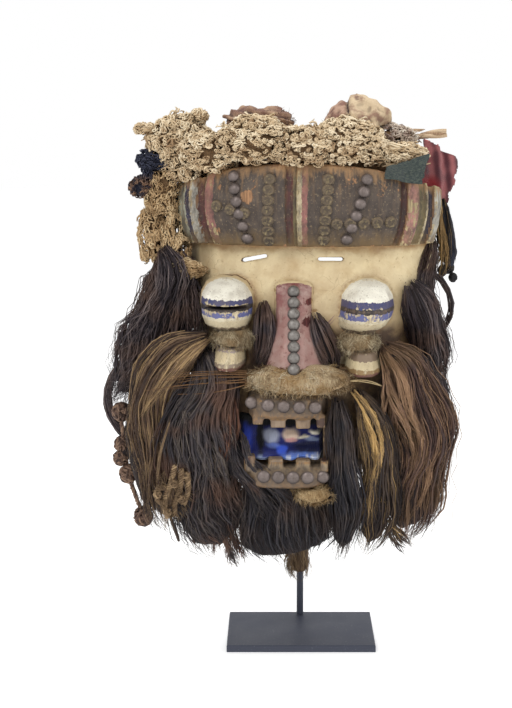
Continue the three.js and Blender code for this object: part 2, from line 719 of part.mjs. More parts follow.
settle('left_black_tuft', (grow) => joined([
  clump([-121, -12, 411], [15, 12, 8], 0.12)(grow), clump([-126, -10, 400], [6, 6, 8], 0.12)(grow),
  clump([-132, -8, 389], [10, 10, 9], 0.12)(grow),
]), FINISH.blackHair);
const STRIP = [[84, 2, 427, 3], [100, 0, 431, 4], [119, 0, 433, 2.5]];
const SIDE_STRIPS = [[116, 6, 384, 4], [121, 10, 362, 7], [125, 12, 338, 9], [124, 12, 318, 6]];
settle('leather_strip', lock(STRIP, { thick: 3, sides: 8, rings: 5 }), FINISH.hide);
settle('right_side_strips', lock(SIDE_STRIPS, { thick: 8 }), FINISH.blackHair);

export default part;
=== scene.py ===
"""The looks of a guere mask on its display stand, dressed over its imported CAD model.

Sizes that are written in millimetres are turned into metres where the mesh is made.
The mask looks along -Y, +Z is up and +X is at the right hand of whoever looks at the face.
"""

import math

import bmesh
import bpy
import numpy as np
from mathutils import Matrix, Vector, noise


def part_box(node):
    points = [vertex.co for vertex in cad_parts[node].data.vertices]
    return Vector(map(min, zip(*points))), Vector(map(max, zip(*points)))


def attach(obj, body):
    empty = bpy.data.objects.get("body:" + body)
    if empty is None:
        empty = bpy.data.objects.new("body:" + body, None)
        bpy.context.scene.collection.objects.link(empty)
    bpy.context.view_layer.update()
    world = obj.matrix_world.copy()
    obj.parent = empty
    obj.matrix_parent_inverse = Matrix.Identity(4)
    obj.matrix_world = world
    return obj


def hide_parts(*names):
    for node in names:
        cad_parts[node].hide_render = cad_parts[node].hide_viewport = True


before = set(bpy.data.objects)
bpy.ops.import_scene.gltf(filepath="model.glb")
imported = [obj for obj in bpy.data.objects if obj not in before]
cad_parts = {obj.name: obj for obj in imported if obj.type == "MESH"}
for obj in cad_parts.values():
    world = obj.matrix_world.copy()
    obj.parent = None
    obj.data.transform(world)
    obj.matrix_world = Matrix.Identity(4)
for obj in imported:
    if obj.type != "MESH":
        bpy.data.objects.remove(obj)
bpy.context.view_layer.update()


# The camera looks at the face from the front, a little above it, as the photograph does.
camera = bpy.data.objects.new("camera", bpy.data.cameras.new("camera"))
bpy.context.scene.collection.objects.link(camera)
camera.location = (-0.01869, -1.2536, 0.46946)
camera.rotation_euler = (math.radians(80), 0, 0)
camera.data.lens = 76.73
camera.data.shift_x = -0.0325
bpy.context.scene.camera = camera


# The studio: a pale floor and soft light from the upper left, with a weaker light at the right.
def colour(red, green, blue):
    """A screen colour, 0 to 255, as the linear values that nodes take."""
    return (*(((c / 255 + 0.055) / 1.055) ** 2.4 for c in (red, green, blue)), 1.0)


def put(tree, kind, joins=(), **settings):
    """Adds a shader node with its settings, and joins or sets its inputs."""
    node = tree.nodes.new("ShaderNode" + kind)
    for name, value in settings.items():
        setattr(node, name, value)
    for socket, source in dict(joins).items():
        if isinstance(source, bpy.types.NodeSocket):
            tree.links.new(source, node.inputs[socket])
        else:
            node.inputs[socket].default_value = source
    return node


def soft_light(name, place, target, size, power):
    """A square studio softbox that is turned to a point."""
    lamp = bpy.data.lights.new(name, "AREA")
    lamp.size, lamp.energy = size, power
    light = bpy.data.objects.new(name, lamp)
    light.location = place
    light.rotation_euler = (Vector(target) - Vector(place)).to_track_quat("-Z", "Y").to_euler()
    bpy.context.scene.collection.objects.link(light)


soft_light("key_light", (-0.9, -1.3, 1.45), (0, 0, 0.27), 0.9, 12)
soft_light("side_light", (1.3, -0.9, 0.75), (0, 0, 0.27), 0.9, 5)
soft_light("top_light", (0.1, 0.3, 1.6), (0, 0, 0.3), 0.8, 9)

world = bpy.data.worlds.new("studio")
world.use_nodes = True
air = world.node_tree
air.nodes.clear()
seen = put(air, "LightPath").outputs["Is Camera Ray"]
lit = put(air, "Background", {"Color": (1, 1, 1, 1), "Strength": 0.75})
shown = put(air, "Background", {"Color": (1, 1, 1, 1), "Strength": 1.0})
either = put(air, "MixShader", {0: seen, 1: lit.outputs[0], 2: shown.outputs[0]})
put(air, "OutputWorld", {"Surface": either.outputs[0]})
bpy.context.scene.world = world
bpy.context.scene.view_settings.view_transform = "Standard"

ground = bmesh.new()
bmesh.ops.create_grid(ground, x_segments=2, y_segments=2, size=6)
floor_mesh = bpy.data.meshes.new("floor")
ground.to_mesh(floor_mesh)
ground.free()
floor = bpy.data.objects.new("floor", floor_mesh)
bpy.context.scene.collection.objects.link(floor)
paper = bpy.data.materials.new("floor_paper")
paper.use_nodes = True
paper.node_tree.nodes["Principled BSDF"].inputs["Base Color"].default_value = (0.93, 0.93, 0.93, 1)
paper.node_tree.nodes["Principled BSDF"].inputs["Roughness"].default_value = 0.9
paper.node_tree.nodes["Principled BSDF"].inputs["Emission Color"].default_value = (1, 1, 1, 1)
paper.node_tree.nodes["Principled BSDF"].inputs["Emission Strength"].default_value = 0.3
floor_mesh.materials.append(paper)


# The stand: a cut steel plate and a welded round rod with two arms, sprayed dark grey.
# Both keep their CAD solids; the satin paint has a fine orange-peel grain and a few pale dust specks.
def finish(name):
    """A new material: its node tree, its Principled shader and the piece's own coordinates."""
    made = bpy.data.materials.new(name)
    made.use_nodes = True
    tree = made.node_tree
    place = put(tree, "TexCoord").outputs["Object"]
    return made, tree, tree.nodes["Principled BSDF"], place


def mixed(tree, share, first, second, how="MIX"):
    """Two colours mixed by a share."""
    node = put(tree, "Mix", data_type="RGBA", blend_type=how)
    for index, source in ((0, share), (6, first), (7, second)):
        if isinstance(source, bpy.types.NodeSocket):
            tree.links.new(source, node.inputs[index])
        else:
            node.inputs[index].default_value = source
    return node.outputs[2]


def spread(tree, value, low, high, start=0.0, end=1.0):
    """A value mapped from one range to another, held at its ends."""
    joins = {"Value": value, 1: low, 2: high, 3: start, 4: end}
    return put(tree, "MapRange", joins).outputs[0]


def total(tree, first, second, how="ADD"):
    """Two values added, or joined in the other way that is named."""
    return put(tree, "Math", {0: first, 1: second}, operation=how).outputs[0]


def level(tree, place, axis="Z"):
    """How high, or how far along another axis, each point of a piece lies."""
    return put(tree, "SeparateXYZ", {0: place}).outputs[axis]


def marked(tree, name, kind="Fac"):
    """A value that is kept at the points of the piece, by its name."""
    return put(tree, "Attribute", attribute_name=name).outputs[kind]


def cloudy(tree, place, scale, detail=3.0, rough=0.55, stretch=(1, 1, 1)):
    """Soft cloudy noise over the piece, drawn out along an axis if stretch says so."""
    if stretch != (1, 1, 1):
        place = put(tree, "Mapping", {"Vector": place, "Scale": stretch}).outputs[0]
    joins = {"Vector": place, "Scale": scale, "Detail": detail, "Roughness": rough}
    return put(tree, "TexNoise", joins).outputs["Fac"]


def rough_skin(tree, shader, height, depth):
    """The height joined to the shader as a relief of that depth in metres."""
    relief = put(tree, "Bump", {"Height": height, "Distance": depth, "Strength": 1.0})
    tree.links.new(relief.outputs[0], shader.inputs["Normal"])


steel, tree, shader, place = finish("dark_steel_paint")
specks = spread(tree, cloudy(tree, place, 900, 2), 0.68, 0.74)
cloud = cloudy(tree, place, 30, 4)
base = mixed(tree, cloud, colour(44, 48, 63), colour(58, 62, 76))
tree.links.new(mixed(tree, specks, base, colour(120, 122, 128)), shader.inputs["Base Color"])
tree.links.new(spread(tree, cloud, 0.3, 0.7, 0.42, 0.56), shader.inputs["Roughness"])
rough_skin(tree, shader, cloudy(tree, place, 1500, 2), 0.0001)
for node in ("stand_plate", "stand_rod"):
    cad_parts[node].data.materials.clear()
    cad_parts[node].data.materials.append(steel)


# The mask: one block of wood, hollowed behind, carved in front and painted with kaolin, blue,
# pink, maroon and navy. The paint is rubbed to the wood on its edges, and its corners are darkened
# with dirt and painted shade.
VOXEL = 0.0014


def plain_copy(node, name, voxel, keep=1.0):
    """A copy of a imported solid, merged, with even faces; keep is the share of faces left where it is flat."""
    shape = bmesh.new()
    shape.from_mesh(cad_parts[node].data)
    bmesh.ops.remove_doubles(shape, verts=shape.verts, dist=1e-5)
    mesh = bpy.data.meshes.new(name)
    shape.to_mesh(mesh)
    shape.free()
    piece = bpy.data.objects.new(name, mesh)
    bpy.context.scene.collection.objects.link(piece)
    even = piece.modifiers.new("even_faces", "REMESH")
    even.mode, even.voxel_size = "VOXEL", voxel
    if keep < 1:
        piece.modifiers.new("fewer_faces", "DECIMATE").ratio = keep
    graph = bpy.context.evaluated_depsgraph_get()
    piece.data = bpy.data.meshes.new_from_object(piece.evaluated_get(graph))
    piece.modifiers.clear()
    piece.data.materials.clear()
    return piece


def points_of(mesh, what="co"):
    """A mesh's points or normals as rows of three numbers."""
    found = np.zeros(len(mesh.vertices) * 3, np.float32)
    if what == "co":
        mesh.vertices.foreach_get("co", found)
    else:
        mesh.vertex_normals.foreach_get("vector", found)
    return found.reshape(-1, 3).astype(float)


def mark(mesh, name, values):
    """A number at each point of a mesh, which its material reads by name."""
    layer = mesh.attributes.new(name, "FLOAT", "POINT")
    layer.data.foreach_set("value", np.asarray(values, np.float32))


def bend_of(mesh, rounds=2):
    """How far each point stands out (above 0.5) or lies in a corner (below 0.5)."""
    points, normals = points_of(mesh), points_of(mesh, "normal")
    ends = np.zeros(len(mesh.edges) * 2, np.int32)
    mesh.edges.foreach_get("vertices", ends)
    one, two = ends.reshape(-1, 2).T
    step = points[two] - points[one]
    step /= np.linalg.norm(step, axis=1)[:, None] + 1e-9
    count = np.bincount(ends, minlength=len(points)).astype(float)
    bend = np.zeros(len(points))
    np.add.at(bend, one, -(step * normals[one]).sum(1))
    np.add.at(bend, two, (step * normals[two]).sum(1))
    bend /= count
    for _ in range(rounds):
        around = np.zeros(len(points))
        np.add.at(around, one, bend[two])
        np.add.at(around, two, bend[one])
        bend = 0.4 * bend + 0.6 * around / count
    return np.clip(0.5 + 1.6 * bend, 0, 1)


carved = plain_copy("mask", "carved_mask", VOXEL, 0.46)
points = points_of(carved.data)
normals = points_of(carved.data, "normal")
knife = np.array([noise.noise(Vector(p) * 70) + 0.5 * noise.noise(Vector(p) * 190) for p in points])
points += normals * (0.00035 * knife)[:, None]
carved.data.vertices.foreach_set("co", points.astype(np.float32).ravel())
carved.data.update()
mark(carved.data, "edge", bend_of(carved.data))

# The forehead band is a rounded shelf: across and up run along it, in millimetres and as a share.
TURN_X, TURN = 3.5, math.radians(6)
BAND = {"half": 112, "depth": 62, "back": 12, "bottom": 344, "top": 410, "drop": 23,
        "swell": 8, "taper": 0.04}
ROUND = 2.2


def band_share(across):
    """How far a place is from the band's middle to its end, and how far the band has turned there."""
    share = np.clip(across / BAND["half"], -1, 1)
    return share, np.sign(share) * np.abs(share) ** (ROUND / 2)


def band_swell(share, up):
    """The height of the band's top edge, and how far its face swells out."""
    top = BAND["top"] - BAND["drop"] * np.abs(share) ** 2.6
    return top, BAND["swell"] * (1 - np.abs(2 * up - 1.1) ** 2.2) * (1 - 0.75 * share**4)


def band_place(across, up):
    """A point on the forehead band, in the world's millimetres."""
    share, turned = band_share(across)
    ahead = math.sqrt(max(0.0, 1 - turned**2))
    top, bulge = band_swell(share, up)
    x = across * (1 - BAND["taper"] * (1 - up)) + turned * bulge
    y = BAND["back"] - BAND["depth"] * ahead ** (2 / ROUND) - ahead * bulge
    z = BAND["bottom"] + (top - BAND["bottom"]) * up
    return np.array([
        TURN_X + x * math.cos(TURN) + y * math.sin(TURN),
        y * math.cos(TURN) - x * math.sin(TURN),
        z,
    ])


def from_turn(x, y):
    """How far to the side of the turned band, and how far behind its middle, a point lies."""
    side = (x - TURN_X) * math.cos(TURN) - y * math.sin(TURN)
    return side, y * math.cos(TURN) + (x - TURN_X) * math.sin(TURN)


x, y, z = (points * 1000).T
side, depth = from_turn(x, y)
across, up = side.copy(), 0.0
for _ in range(8):
    share, turned = band_share(across)
    top = band_swell(share, up)[0]
    up = np.clip((z - BAND["bottom"]) / (top - BAND["bottom"]), 0, 1)
    across = (side - turned * band_swell(share, up)[1]) / (1 - BAND["taper"] * (1 - up))
mark(carved.data, "across", across)
mark(carved.data, "up", up)

# The band's upright stripes, from the left end to the right: width, colour, wear, and how far the
# knife left each one standing out. The two wide ones are the panels, mottled dark brown.
PANEL, MAROON, OLIVE = colour(84, 72, 62), colour(96, 46, 42), colour(116, 104, 66)
CREAM, PINK, NAVY = colour(206, 190, 154), colour(158, 104, 96), colour(30, 34, 66)
WHITE, RED_BROWN = colour(198, 194, 180), colour(88, 38, 34)
STRIPES = [
    (17, colour(158, 158, 140), 0.38, 0.5), (5, NAVY, 0.2, -1.2), (7.5, WHITE, 0.4, 1.3),
    (7.5, RED_BROWN, 0.27, -1.5), (6, PINK, 0.35, 0.9), (58, PANEL, 0.3, 0), (5, MAROON, 0.3, -0.9),
    (4, OLIVE, 0.33, -0.2), (3, CREAM, 0.33, 1.0), (5, PINK, 0.33, 0.3), (71, PANEL, 0.31, 0),
    (5, MAROON, 0.31, -0.8), (9, colour(176, 124, 112), 0.35, 1.2), (5.5, OLIVE, 0.36, -0.6),
    (2.5, CREAM, 0.33, 0.6), (4.5, NAVY, 0.28, -0.9), (6, WHITE, 0.36, 0.9), (2.5, OLIVE, 0.4, 0),
]
starts = np.cumsum([-BAND["half"]] + [row[0] for row in STRIPES])
centres, halves = (starts[1:] + starts[:-1]) / 2, np.diff(starts) / 2
cut = np.zeros(len(points))
for middle_at, half, row in zip(centres, halves, STRIPES):
    cut += row[3] * np.clip((half - np.abs(across - middle_at)) / 1.2 + 0.5, 0, 1)
on_band = (z > 344.5) & (depth < 6) & (up < 1.01)
shift = np.where(on_band, cut, 0)[:, None] * normals / 1000

# The nose is broad and square at its top, slimmer at the middle, and flares to the nostrils.
# Its solid's half width and its real one go by height; the cheek beside it gives way over 12 mm.
NOSE_X, CHEEK = -6.5, 12
heights = [240, 250, 265, 282, 300, 312, 320]
slim = np.interp(z, heights, [17, 17, 12.9, 11.9, 10.5, 7.9, 7])
broad_nose = np.interp(z, heights, [22, 22, 17, 13.4, 13.8, 14.2, 12])
from_middle = np.abs(x - NOSE_X)
fade = np.clip((from_middle - slim) / CHEEK, 0, 1)
moved = np.where(from_middle > slim, broad_nose + (slim + CHEEK - broad_nose) * fade,
                 from_middle / slim * broad_nose)
on_nose = (from_middle < slim + CHEEK) & (y < -42) & (z > 240) & (z < 322)
shift[:, 0] += np.where(on_nose, np.sign(x - NOSE_X) * (moved - from_middle), 0) / 1000
points += shift
carved.data.vertices.foreach_set("co", points.astype(np.float32).ravel())
carved.data.update()

# Places where handling has rubbed the paint away: across or x, height, radius, how much.
RUBBED = [
    (-41, 384, 5, 0.5), (-63, 391, 3, 0.35), (-67, 356, 4, 0.3), (62, 392, 8, 0.14),
    (84, 375, 7, 0.2), (40, 398, 8, 0.12), (-30, 402, 10, 0.12), (-20, 308, 4, 0.4),
    (4, 300, 3, 0.5), (8, 292, 3, 0.5), (2, 284, 3, 0.4), (-35, 210, 6, 0.1), (10, 209, 5, 0.12),
]
worn = np.zeros(len(points))
for right, height, radius, much in RUBBED:
    away = np.hypot(np.where(z > 343, across, x) - right, z - height)
    worn = np.maximum(worn, much * np.exp(-((away / radius) ** 2)))
mark(carved.data, "worn", worn)


def old_paint():
    """The group that lays worn paint on wood: chips, rubbed edges, grain, and dirt with painted shade in the
    corners.
    """
    group = bpy.data.node_groups.new("old_paint", "ShaderNodeTree")
    for name, kind in (("Paint", "Color"), ("Wood", "Color"), ("Dirt_and_shade", "Color"), ("Wear", "Float")):
        group.interface.new_socket(name, in_out="INPUT", socket_type="NodeSocket" + kind)
    for name, kind in (("Color", "Color"), ("Roughness", "Float"), ("Height", "Float")):
        group.interface.new_socket(name, in_out="OUTPUT", socket_type="NodeSocket" + kind)
    given = group.nodes.new("NodeGroupInput").outputs
    place = put(group, "TexCoord").outputs["Object"]
    edge, rubbed = marked(group, "edge"), marked(group, "worn")
    broad = cloudy(group, place, 60, 4)
    fine = cloudy(group, place, 430, 3)
    grain = cloudy(group, place, 600, 3, 0.6, (1, 1, 0.07))
    flakes = spread(group, edge, 0.42, 0.8, -0.06, 0.3)
    for cloud, share in ((broad, 0.45), (fine, 0.33), (grain, 0.22)):
        flakes = total(group, flakes, total(group, cloud, share, "MULTIPLY"))
    flakes = total(group, total(group, flakes, rubbed), given["Wear"])
    chips = spread(group, flakes, 0.98, 1.04)
    dull = mixed(group, 0.35, given["Paint"], given["Dirt_and_shade"])
    faded = mixed(group, spread(group, broad, 0.3, 0.7), dull, given["Paint"])
    dark_wood = mixed(group, 0.65, given["Wood"], given["Dirt_and_shade"], "MULTIPLY")
    wood = mixed(group, spread(group, grain, 0.35, 0.65), dark_wood, given["Wood"])
    laid = mixed(group, chips, faded, wood)
    # Concave corners are darkened towards the dirt colour: dirt, and painted shade.
    corner_dirt_and_shade = spread(group, edge, 0.5, 0.3)
    corner = total(group, corner_dirt_and_shade, spread(group, fine, 0.35, 0.65, 0.35, 1.0), "MULTIPLY")
    done = mixed(group, corner, laid, given["Dirt_and_shade"])
    relief = total(group, chips, -0.5, "MULTIPLY")
    for cloud, share in ((grain, 0.3), (fine, 0.4)):
        relief = total(group, relief, total(group, cloud, share, "MULTIPLY"))
    dulled = spread(group, chips, 0, 1, 0.62, 0.8)
    out = group.nodes.new("NodeGroupOutput")
    for name, source in (("Color", done), ("Roughness", dulled), ("Height", relief)):
        group.links.new(source, out.inputs[name])
    return group


OLD_PAINT = old_paint()


def painted(tree, shader, paint, wood, wear, dirt_and_shade, relief):
    """Worn paint on a material's shader, with a relief of that depth in metres, and dirt with painted shade in
    its corners.
    """
    layer = put(tree, "Group", node_tree=OLD_PAINT)
    for name, source in (("Paint", paint), ("Wood", wood), ("Dirt_and_shade", dirt_and_shade), ("Wear", wear)):
        if isinstance(source, bpy.types.NodeSocket):
            tree.links.new(source, layer.inputs[name])
        else:
            layer.inputs[name].default_value = source
    tree.links.new(layer.outputs["Color"], shader.inputs["Base Color"])
    tree.links.new(layer.outputs["Roughness"], shader.inputs["Roughness"])
    rough_skin(tree, shader, layer.outputs["Height"], relief)


def stepped(tree, value, stops, sharp=True):
    """A band of colours along a value; each stop is where it starts, its colour and its alpha."""
    node = put(tree, "ValToRGB", {"Fac": value})
    ramp = node.color_ramp
    ramp.interpolation = "CONSTANT" if sharp else "LINEAR"
    for index, (start, shade, alpha) in enumerate(stops):
        stop = ramp.elements[index] if index < 2 else ramp.elements.new(start)
        stop.position, stop.color = start, (*shade[:3], alpha)
    return node.outputs


# Kaolin on the brow and round the eyes: stained, finely crazed, and grey towards the cheeks.
kaolin, tree, shader, place = finish("kaolin")
warp = put(tree, "TexNoise", {"Vector": place, "Scale": 60, "Detail": 3})
bent = put(tree, "Mix", data_type="VECTOR")
bent.inputs[0].default_value = 0.016
tree.links.new(place, bent.inputs[4])
tree.links.new(warp.outputs["Color"], bent.inputs[5])
cells = put(tree, "TexVoronoi", {"Vector": bent.outputs[1], "Scale": 95}, feature="DISTANCE_TO_EDGE")
crack = spread(tree, cells.outputs["Distance"], 0.0, 0.02, 0.55, 0.0)
some = spread(tree, cloudy(tree, place, 38, 3), 0.52, 0.66)
crack = total(tree, crack, some, "MULTIPLY")
uneven = total(tree, cloudy(tree, place, 70, 4), 0.016, "MULTIPLY")
uneven = total(tree, level(tree, place), uneven)
# Just under the band the kaolin turns golden brown and then dark: painted shade under the band, with dirt.
clay = stepped(tree, spread(tree, uneven, 0.27, 0.36), [
    (0.0, colour(60, 44, 34), 1), (0.12, colour(88, 68, 52), 1), (0.22, colour(198, 176, 136), 1),
    (0.5, colour(220, 202, 162), 1), (0.83, colour(226, 208, 166), 1), (0.885, colour(176, 144, 96), 1),
    (0.94, colour(122, 88, 52), 1),
], sharp=False)["Color"]
at_left = spread(tree, level(tree, place, "X"), -0.066, -0.094, 0.0, 0.6)
clay = mixed(tree, at_left, clay, colour(140, 122, 92))
stain = spread(tree, cloudy(tree, place, 55, 5, 0.65), 0.45, 0.72, 0.0, 0.6)
clay = mixed(tree, stain, clay, colour(190, 160, 112))
specks = spread(tree, cloudy(tree, place, 420, 3, 0.6), 0.64, 0.72, 0.0, 0.6)
clay = mixed(tree, specks, clay, colour(150, 122, 84))
clay = mixed(tree, crack, clay, colour(126, 98, 68))
painted(tree, shader, clay, colour(176, 146, 102), 0.22, colour(150, 118, 84), 0.0005)

# The band's paint: the stripes, with dirt lying golden along the lower edge and the upper edge
# rubbed to the wood in upright streaks.
band_paint, tree, shader, place = finish("band_paint")
up_at = marked(tree, "up")
wobble = spread(tree, cloudy(tree, place, 260, 3), 0.3, 0.7, -0.7, 0.7)
along_band = spread(tree, total(tree, marked(tree, "across"), wobble), -BAND["half"], BAND["half"])
paints, woods, start = [], [], 0.0
for width, shade, wear, _ in STRIPES:
    under = colour(166, 124, 88) if shade == PANEL else colour(184, 164, 124)
    paints.append((start / (2 * BAND["half"]), shade, wear))
    woods.append((start / (2 * BAND["half"]), under, 1))
    start += width
stripes = stepped(tree, along_band, paints)
bare = stepped(tree, along_band, woods)["Color"]
mottle = cloudy(tree, place, 130, 5, 0.7, (1, 1, 0.5))
shaded = mixed(tree, spread(tree, mottle, 0.4, 0.62, 0.0, 0.75), stripes["Color"], colour(46, 36, 32))
streaks = cloudy(tree, place, 260, 4, 0.65, (1, 1, 0.1))
amber = total(tree, spread(tree, streaks, 0.48, 0.7, 0.0, 0.6), spread(tree, up_at, 0.2, 0.9), "MULTIPLY")
shaded = mixed(tree, amber, shaded, colour(142, 110, 74))
speckle = spread(tree, cloudy(tree, place, 520, 3, 0.6), 0.58, 0.7, 0.0, 0.55)
shaded = mixed(tree, speckle, shaded, colour(164, 142, 108))
uneven = total(tree, spread(tree, streaks, 0.3, 0.7, -0.09, 0.09), up_at)
ledge = mixed(tree, spread(tree, uneven, 0.24, 0.02, 0.0, 0.8), shaded, colour(112, 88, 50))
rubbed = mixed(tree, spread(tree, uneven, 0.84, 0.97, 0.0, 0.8), ledge, colour(166, 128, 86))
painted(tree, shader, rubbed, bare, stripes["Alpha"], colour(46, 36, 30), 0.0008)

# The eyes: white domes with a blue rim above and below the slit, then flaked cream. The block
# under each fur has its own lines of grey, pitted cream, pink and worn brown wood.
DOME = [
    (0.3, colour(130, 114, 96), 0.35), (0.47, colour(214, 200, 166), 0.4), (0.55, colour(222, 212, 184), 0.4),
    (0.585, colour(78, 92, 152), 0.41), (0.655, colour(16, 17, 30), 0.1), (0.705, colour(42, 54, 104), 0.33),
    (0.775, colour(240, 236, 220), 0.2), (0.965, colour(224, 214, 188), 0.25),
]
LEFT_BLOCK = [
    (0.0, colour(104, 66, 56), 0.25), (0.05, colour(140, 124, 106), 0.3), (0.09, colour(212, 194, 156), 0.42),
    (0.21, colour(160, 144, 138), 0.33),
]
RIGHT_BLOCK = [
    (0.0, colour(96, 54, 48), 0.25), (0.04, colour(142, 114, 70), 0.3), (0.085, colour(214, 198, 158), 0.36),
    (0.165, colour(126, 108, 90), 0.3), (0.27, colour(164, 104, 100), 0.25),
]


def eye_paint(name, low, high, dirt_and_shade, block):
    """An eye's paint in level bands between two heights, in metres."""
    made, tree, shader, place = finish(name)
    ragged = spread(tree, cloudy(tree, place, 300, 4), 0.3, 0.7, -0.0009, 0.0009)
    height = total(tree, level(tree, place), ragged)
    bands = stepped(tree, spread(tree, height, low, high), block + DOME)
    grimed = spread(tree, cloudy(tree, place, 110, 4, 0.6), 0.5, 0.72, 0.0, 0.35)
    pits = spread(tree, cloudy(tree, place, 700, 2), 0.62, 0.7, 0.0, 0.6)
    paint = mixed(tree, pits, mixed(tree, grimed, bands["Color"], dirt_and_shade), dirt_and_shade)
    painted(tree, shader, paint, colour(205, 190, 158), bands["Alpha"], dirt_and_shade, 0.0006)
    return made


left_eye = eye_paint("left_eye_paint", 0.2465, 0.3205, colour(116, 98, 78), LEFT_BLOCK)
right_eye = eye_paint("right_eye_paint", 0.2420, 0.3195, colour(120, 100, 80), RIGHT_BLOCK)

# The nose: dusty pink, with maroon showing at its top and where the pink has flaked.
nose_paint, tree, shader, place = finish("nose_paint")
rosy = mixed(tree, spread(tree, level(tree, place), 0.276, 0.308), colour(172, 132, 124), colour(132, 78, 76))
blotch = cloudy(tree, place, 90, 5, 0.65)
rosy = mixed(tree, spread(tree, blotch, 0.42, 0.66), rosy, colour(184, 156, 146))
flaked = spread(tree, cloudy(tree, place, 240, 4), 0.56, 0.7, 0.0, 0.7)
rosy = mixed(tree, flaked, rosy, colour(124, 78, 72))
painted(tree, shader, rosy, colour(104, 50, 48), 0.34, colour(92, 58, 54), 0.0005)

# The lips: smoke-dark wood, rubbed golden along their lower edges. The teeth: square and brown.
lip_wood, tree, shader, place = finish("lip_wood")
dusty = mixed(tree, cloudy(tree, place, 120, 5, 0.65), colour(72, 60, 50), colour(122, 106, 90))
touched = spread(tree, cloudy(tree, place, 300, 4), 0.5, 0.7, 0.0, 0.7)
dusty = mixed(tree, touched, dusty, colour(150, 120, 84))
golden = stepped(tree, spread(tree, level(tree, place), 0.146, 0.230), [
    (0.0, colour(146, 108, 66), 0.8), (0.16, colour(130, 104, 76), 0.3), (0.27, colour(176, 156, 124), 0.6),
    (0.3, colour(160, 118, 68), 1), (0.76, colour(148, 112, 70), 0.7), (0.84, colour(120, 100, 80), 0.1),
], sharp=False)
grained = cloudy(tree, place, 340, 4, 0.6, (1, 1, 0.25))
share = total(tree, golden["Alpha"], spread(tree, grained, 0.35, 0.6), "MULTIPLY")
lips = mixed(tree, share, dusty, golden["Color"])
painted(tree, shader, lips, colour(160, 126, 88), 0.24, colour(48, 37, 31), 0.0006)

tooth_wood, tree, shader, place = finish("tooth_wood")
# The teeth at the left end are painted dark red-brown as the shade that falls on them; those at the right end
# are darker too.
tan = stepped(tree, spread(tree, level(tree, place, "X"), -0.06, 0.03), [
    (0.0, colour(80, 48, 38), 1), (0.2, colour(124, 100, 80), 1), (0.36, colour(150, 130, 108), 1),
    (0.56, colour(148, 126, 102), 1), (0.75, colour(70, 50, 42), 1),
])["Color"]
streaked = spread(tree, cloudy(tree, place, 260, 4, 0.6, (1, 1, 0.3)), 0.45, 0.7, 0, 0.5)
tan = mixed(tree, streaked, tan, colour(96, 70, 50))
painted(tree, shader, tan, colour(156, 130, 98), 0.24, colour(62, 46, 38), 0.0004)

# Inside the mouth the wood is painted near black as painted shade; behind, the wood is bare, with the flats of
# the adze.
mouth_shade, tree, shader, place = finish("mouth_shade")
painted(tree, shader, colour(14, 11, 10), colour(30, 22, 18), 0.2, colour(8, 7, 7), 0.0005)
bare_wood, tree, shader, place = finish("bare_wood")
flats = put(tree, "TexVoronoi", {"Vector": place, "Scale": 60}, feature="SMOOTH_F1")
pale = mixed(tree, flats.outputs["Distance"], colour(138, 104, 74), colour(112, 82, 58))
painted(tree, shader, pale, colour(158, 124, 88), 0.4, colour(56, 42, 32), 0.0009)

for material in (bare_wood, kaolin, band_paint, left_eye, right_eye,
                 nose_paint, lip_wood, tooth_wood, mouth_shade):
    carved.data.materials.append(material)
BARE, KAOLIN, STRIPED, LEFT_EYE, RIGHT_EYE, NOSE, LIP, TOOTH, MOUTH_SHADE = range(9)
faces = len(carved.data.polygons)
middles, facing = np.zeros(faces * 3, np.float32), np.zeros(faces * 3, np.float32)
carved.data.polygons.foreach_get("center", middles)
carved.data.polygons.foreach_get("normal", facing)
x, y, z = (middles.reshape(-1, 3) * 1000).T
out_x, out_y, out_z = facing.reshape(-1, 3).T
side, depth = from_turn(x, y)
outer = (out_x * side + out_y * (depth - 28) > 0) & (out_y < 0.8)


def within(value, low, high):
    """Where a coordinate lies between two limits."""
    return (value > low) & (value < high)


slot = np.full(faces, BARE, np.int32)
slot[outer & (z < BAND["bottom"] - 0.6)] = KAOLIN
slot[(z < BAND["bottom"] - 0.6) & (z > 232) & within(y, -60, -36)] = KAOLIN
slot[(z > BAND["bottom"] - 0.6) & (outer | (out_z > 0.6) & (z > 380)) & (depth < 20)] = STRIPED
lip_depth = within(y, -68.5, -55.5) & (outer | (np.abs(out_z) > 0.5))
slot[within(x, -51.5, 17.5) & within(z, 170.5, 206.5) & within(y, -68.5, -18) & ~lip_depth] = MOUTH_SHADE
for right, height, front, paint in (
    ((-85, -36), (246, 320.5), -46.5, LEFT_EYE), ((29, 77), (241, 320.5), -46.5, RIGHT_EYE),
    ((-45.5, 21), (206.3, 229), -50, LIP), ((-50.5, 22.5), (148, 170.8), -50, LIP),
):
    slot[within(x, *right) & within(z, *height) & (y < front)] = paint
slot[within(x, -31.5, 20.5) & within(z, 240, 317) & (y < -45.5) & outer] = NOSE
upper_teeth = within(z, 197.5, 206.2) & within(x, -41, 19.5)
lower_teeth = within(z, 170.9, 178) & within(x, -48, 22)
slot[within(y, -68.6, -55) & (upper_teeth | lower_teeth) & (out_y < 0.3)] = TOOTH
carved.data.polygons.foreach_set("material_index", slot)
carved.data.polygons.foreach_set("use_smooth", np.ones(faces, bool))
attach(carved, "root")
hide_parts("mask")


# The 34 tacks of the forehead band: upholstery tacks pushed into the wood, in four upright rows
# and two level ones. Some are domed and smoked dark; the others are flat and crusted over.
def rows_between(start, end, count):
    """Evenly spaced places from one end of a row to the other."""
    return [[a + (b - a) * i / (count - 1) for a, b in zip(start, end)] for i in range(count)]


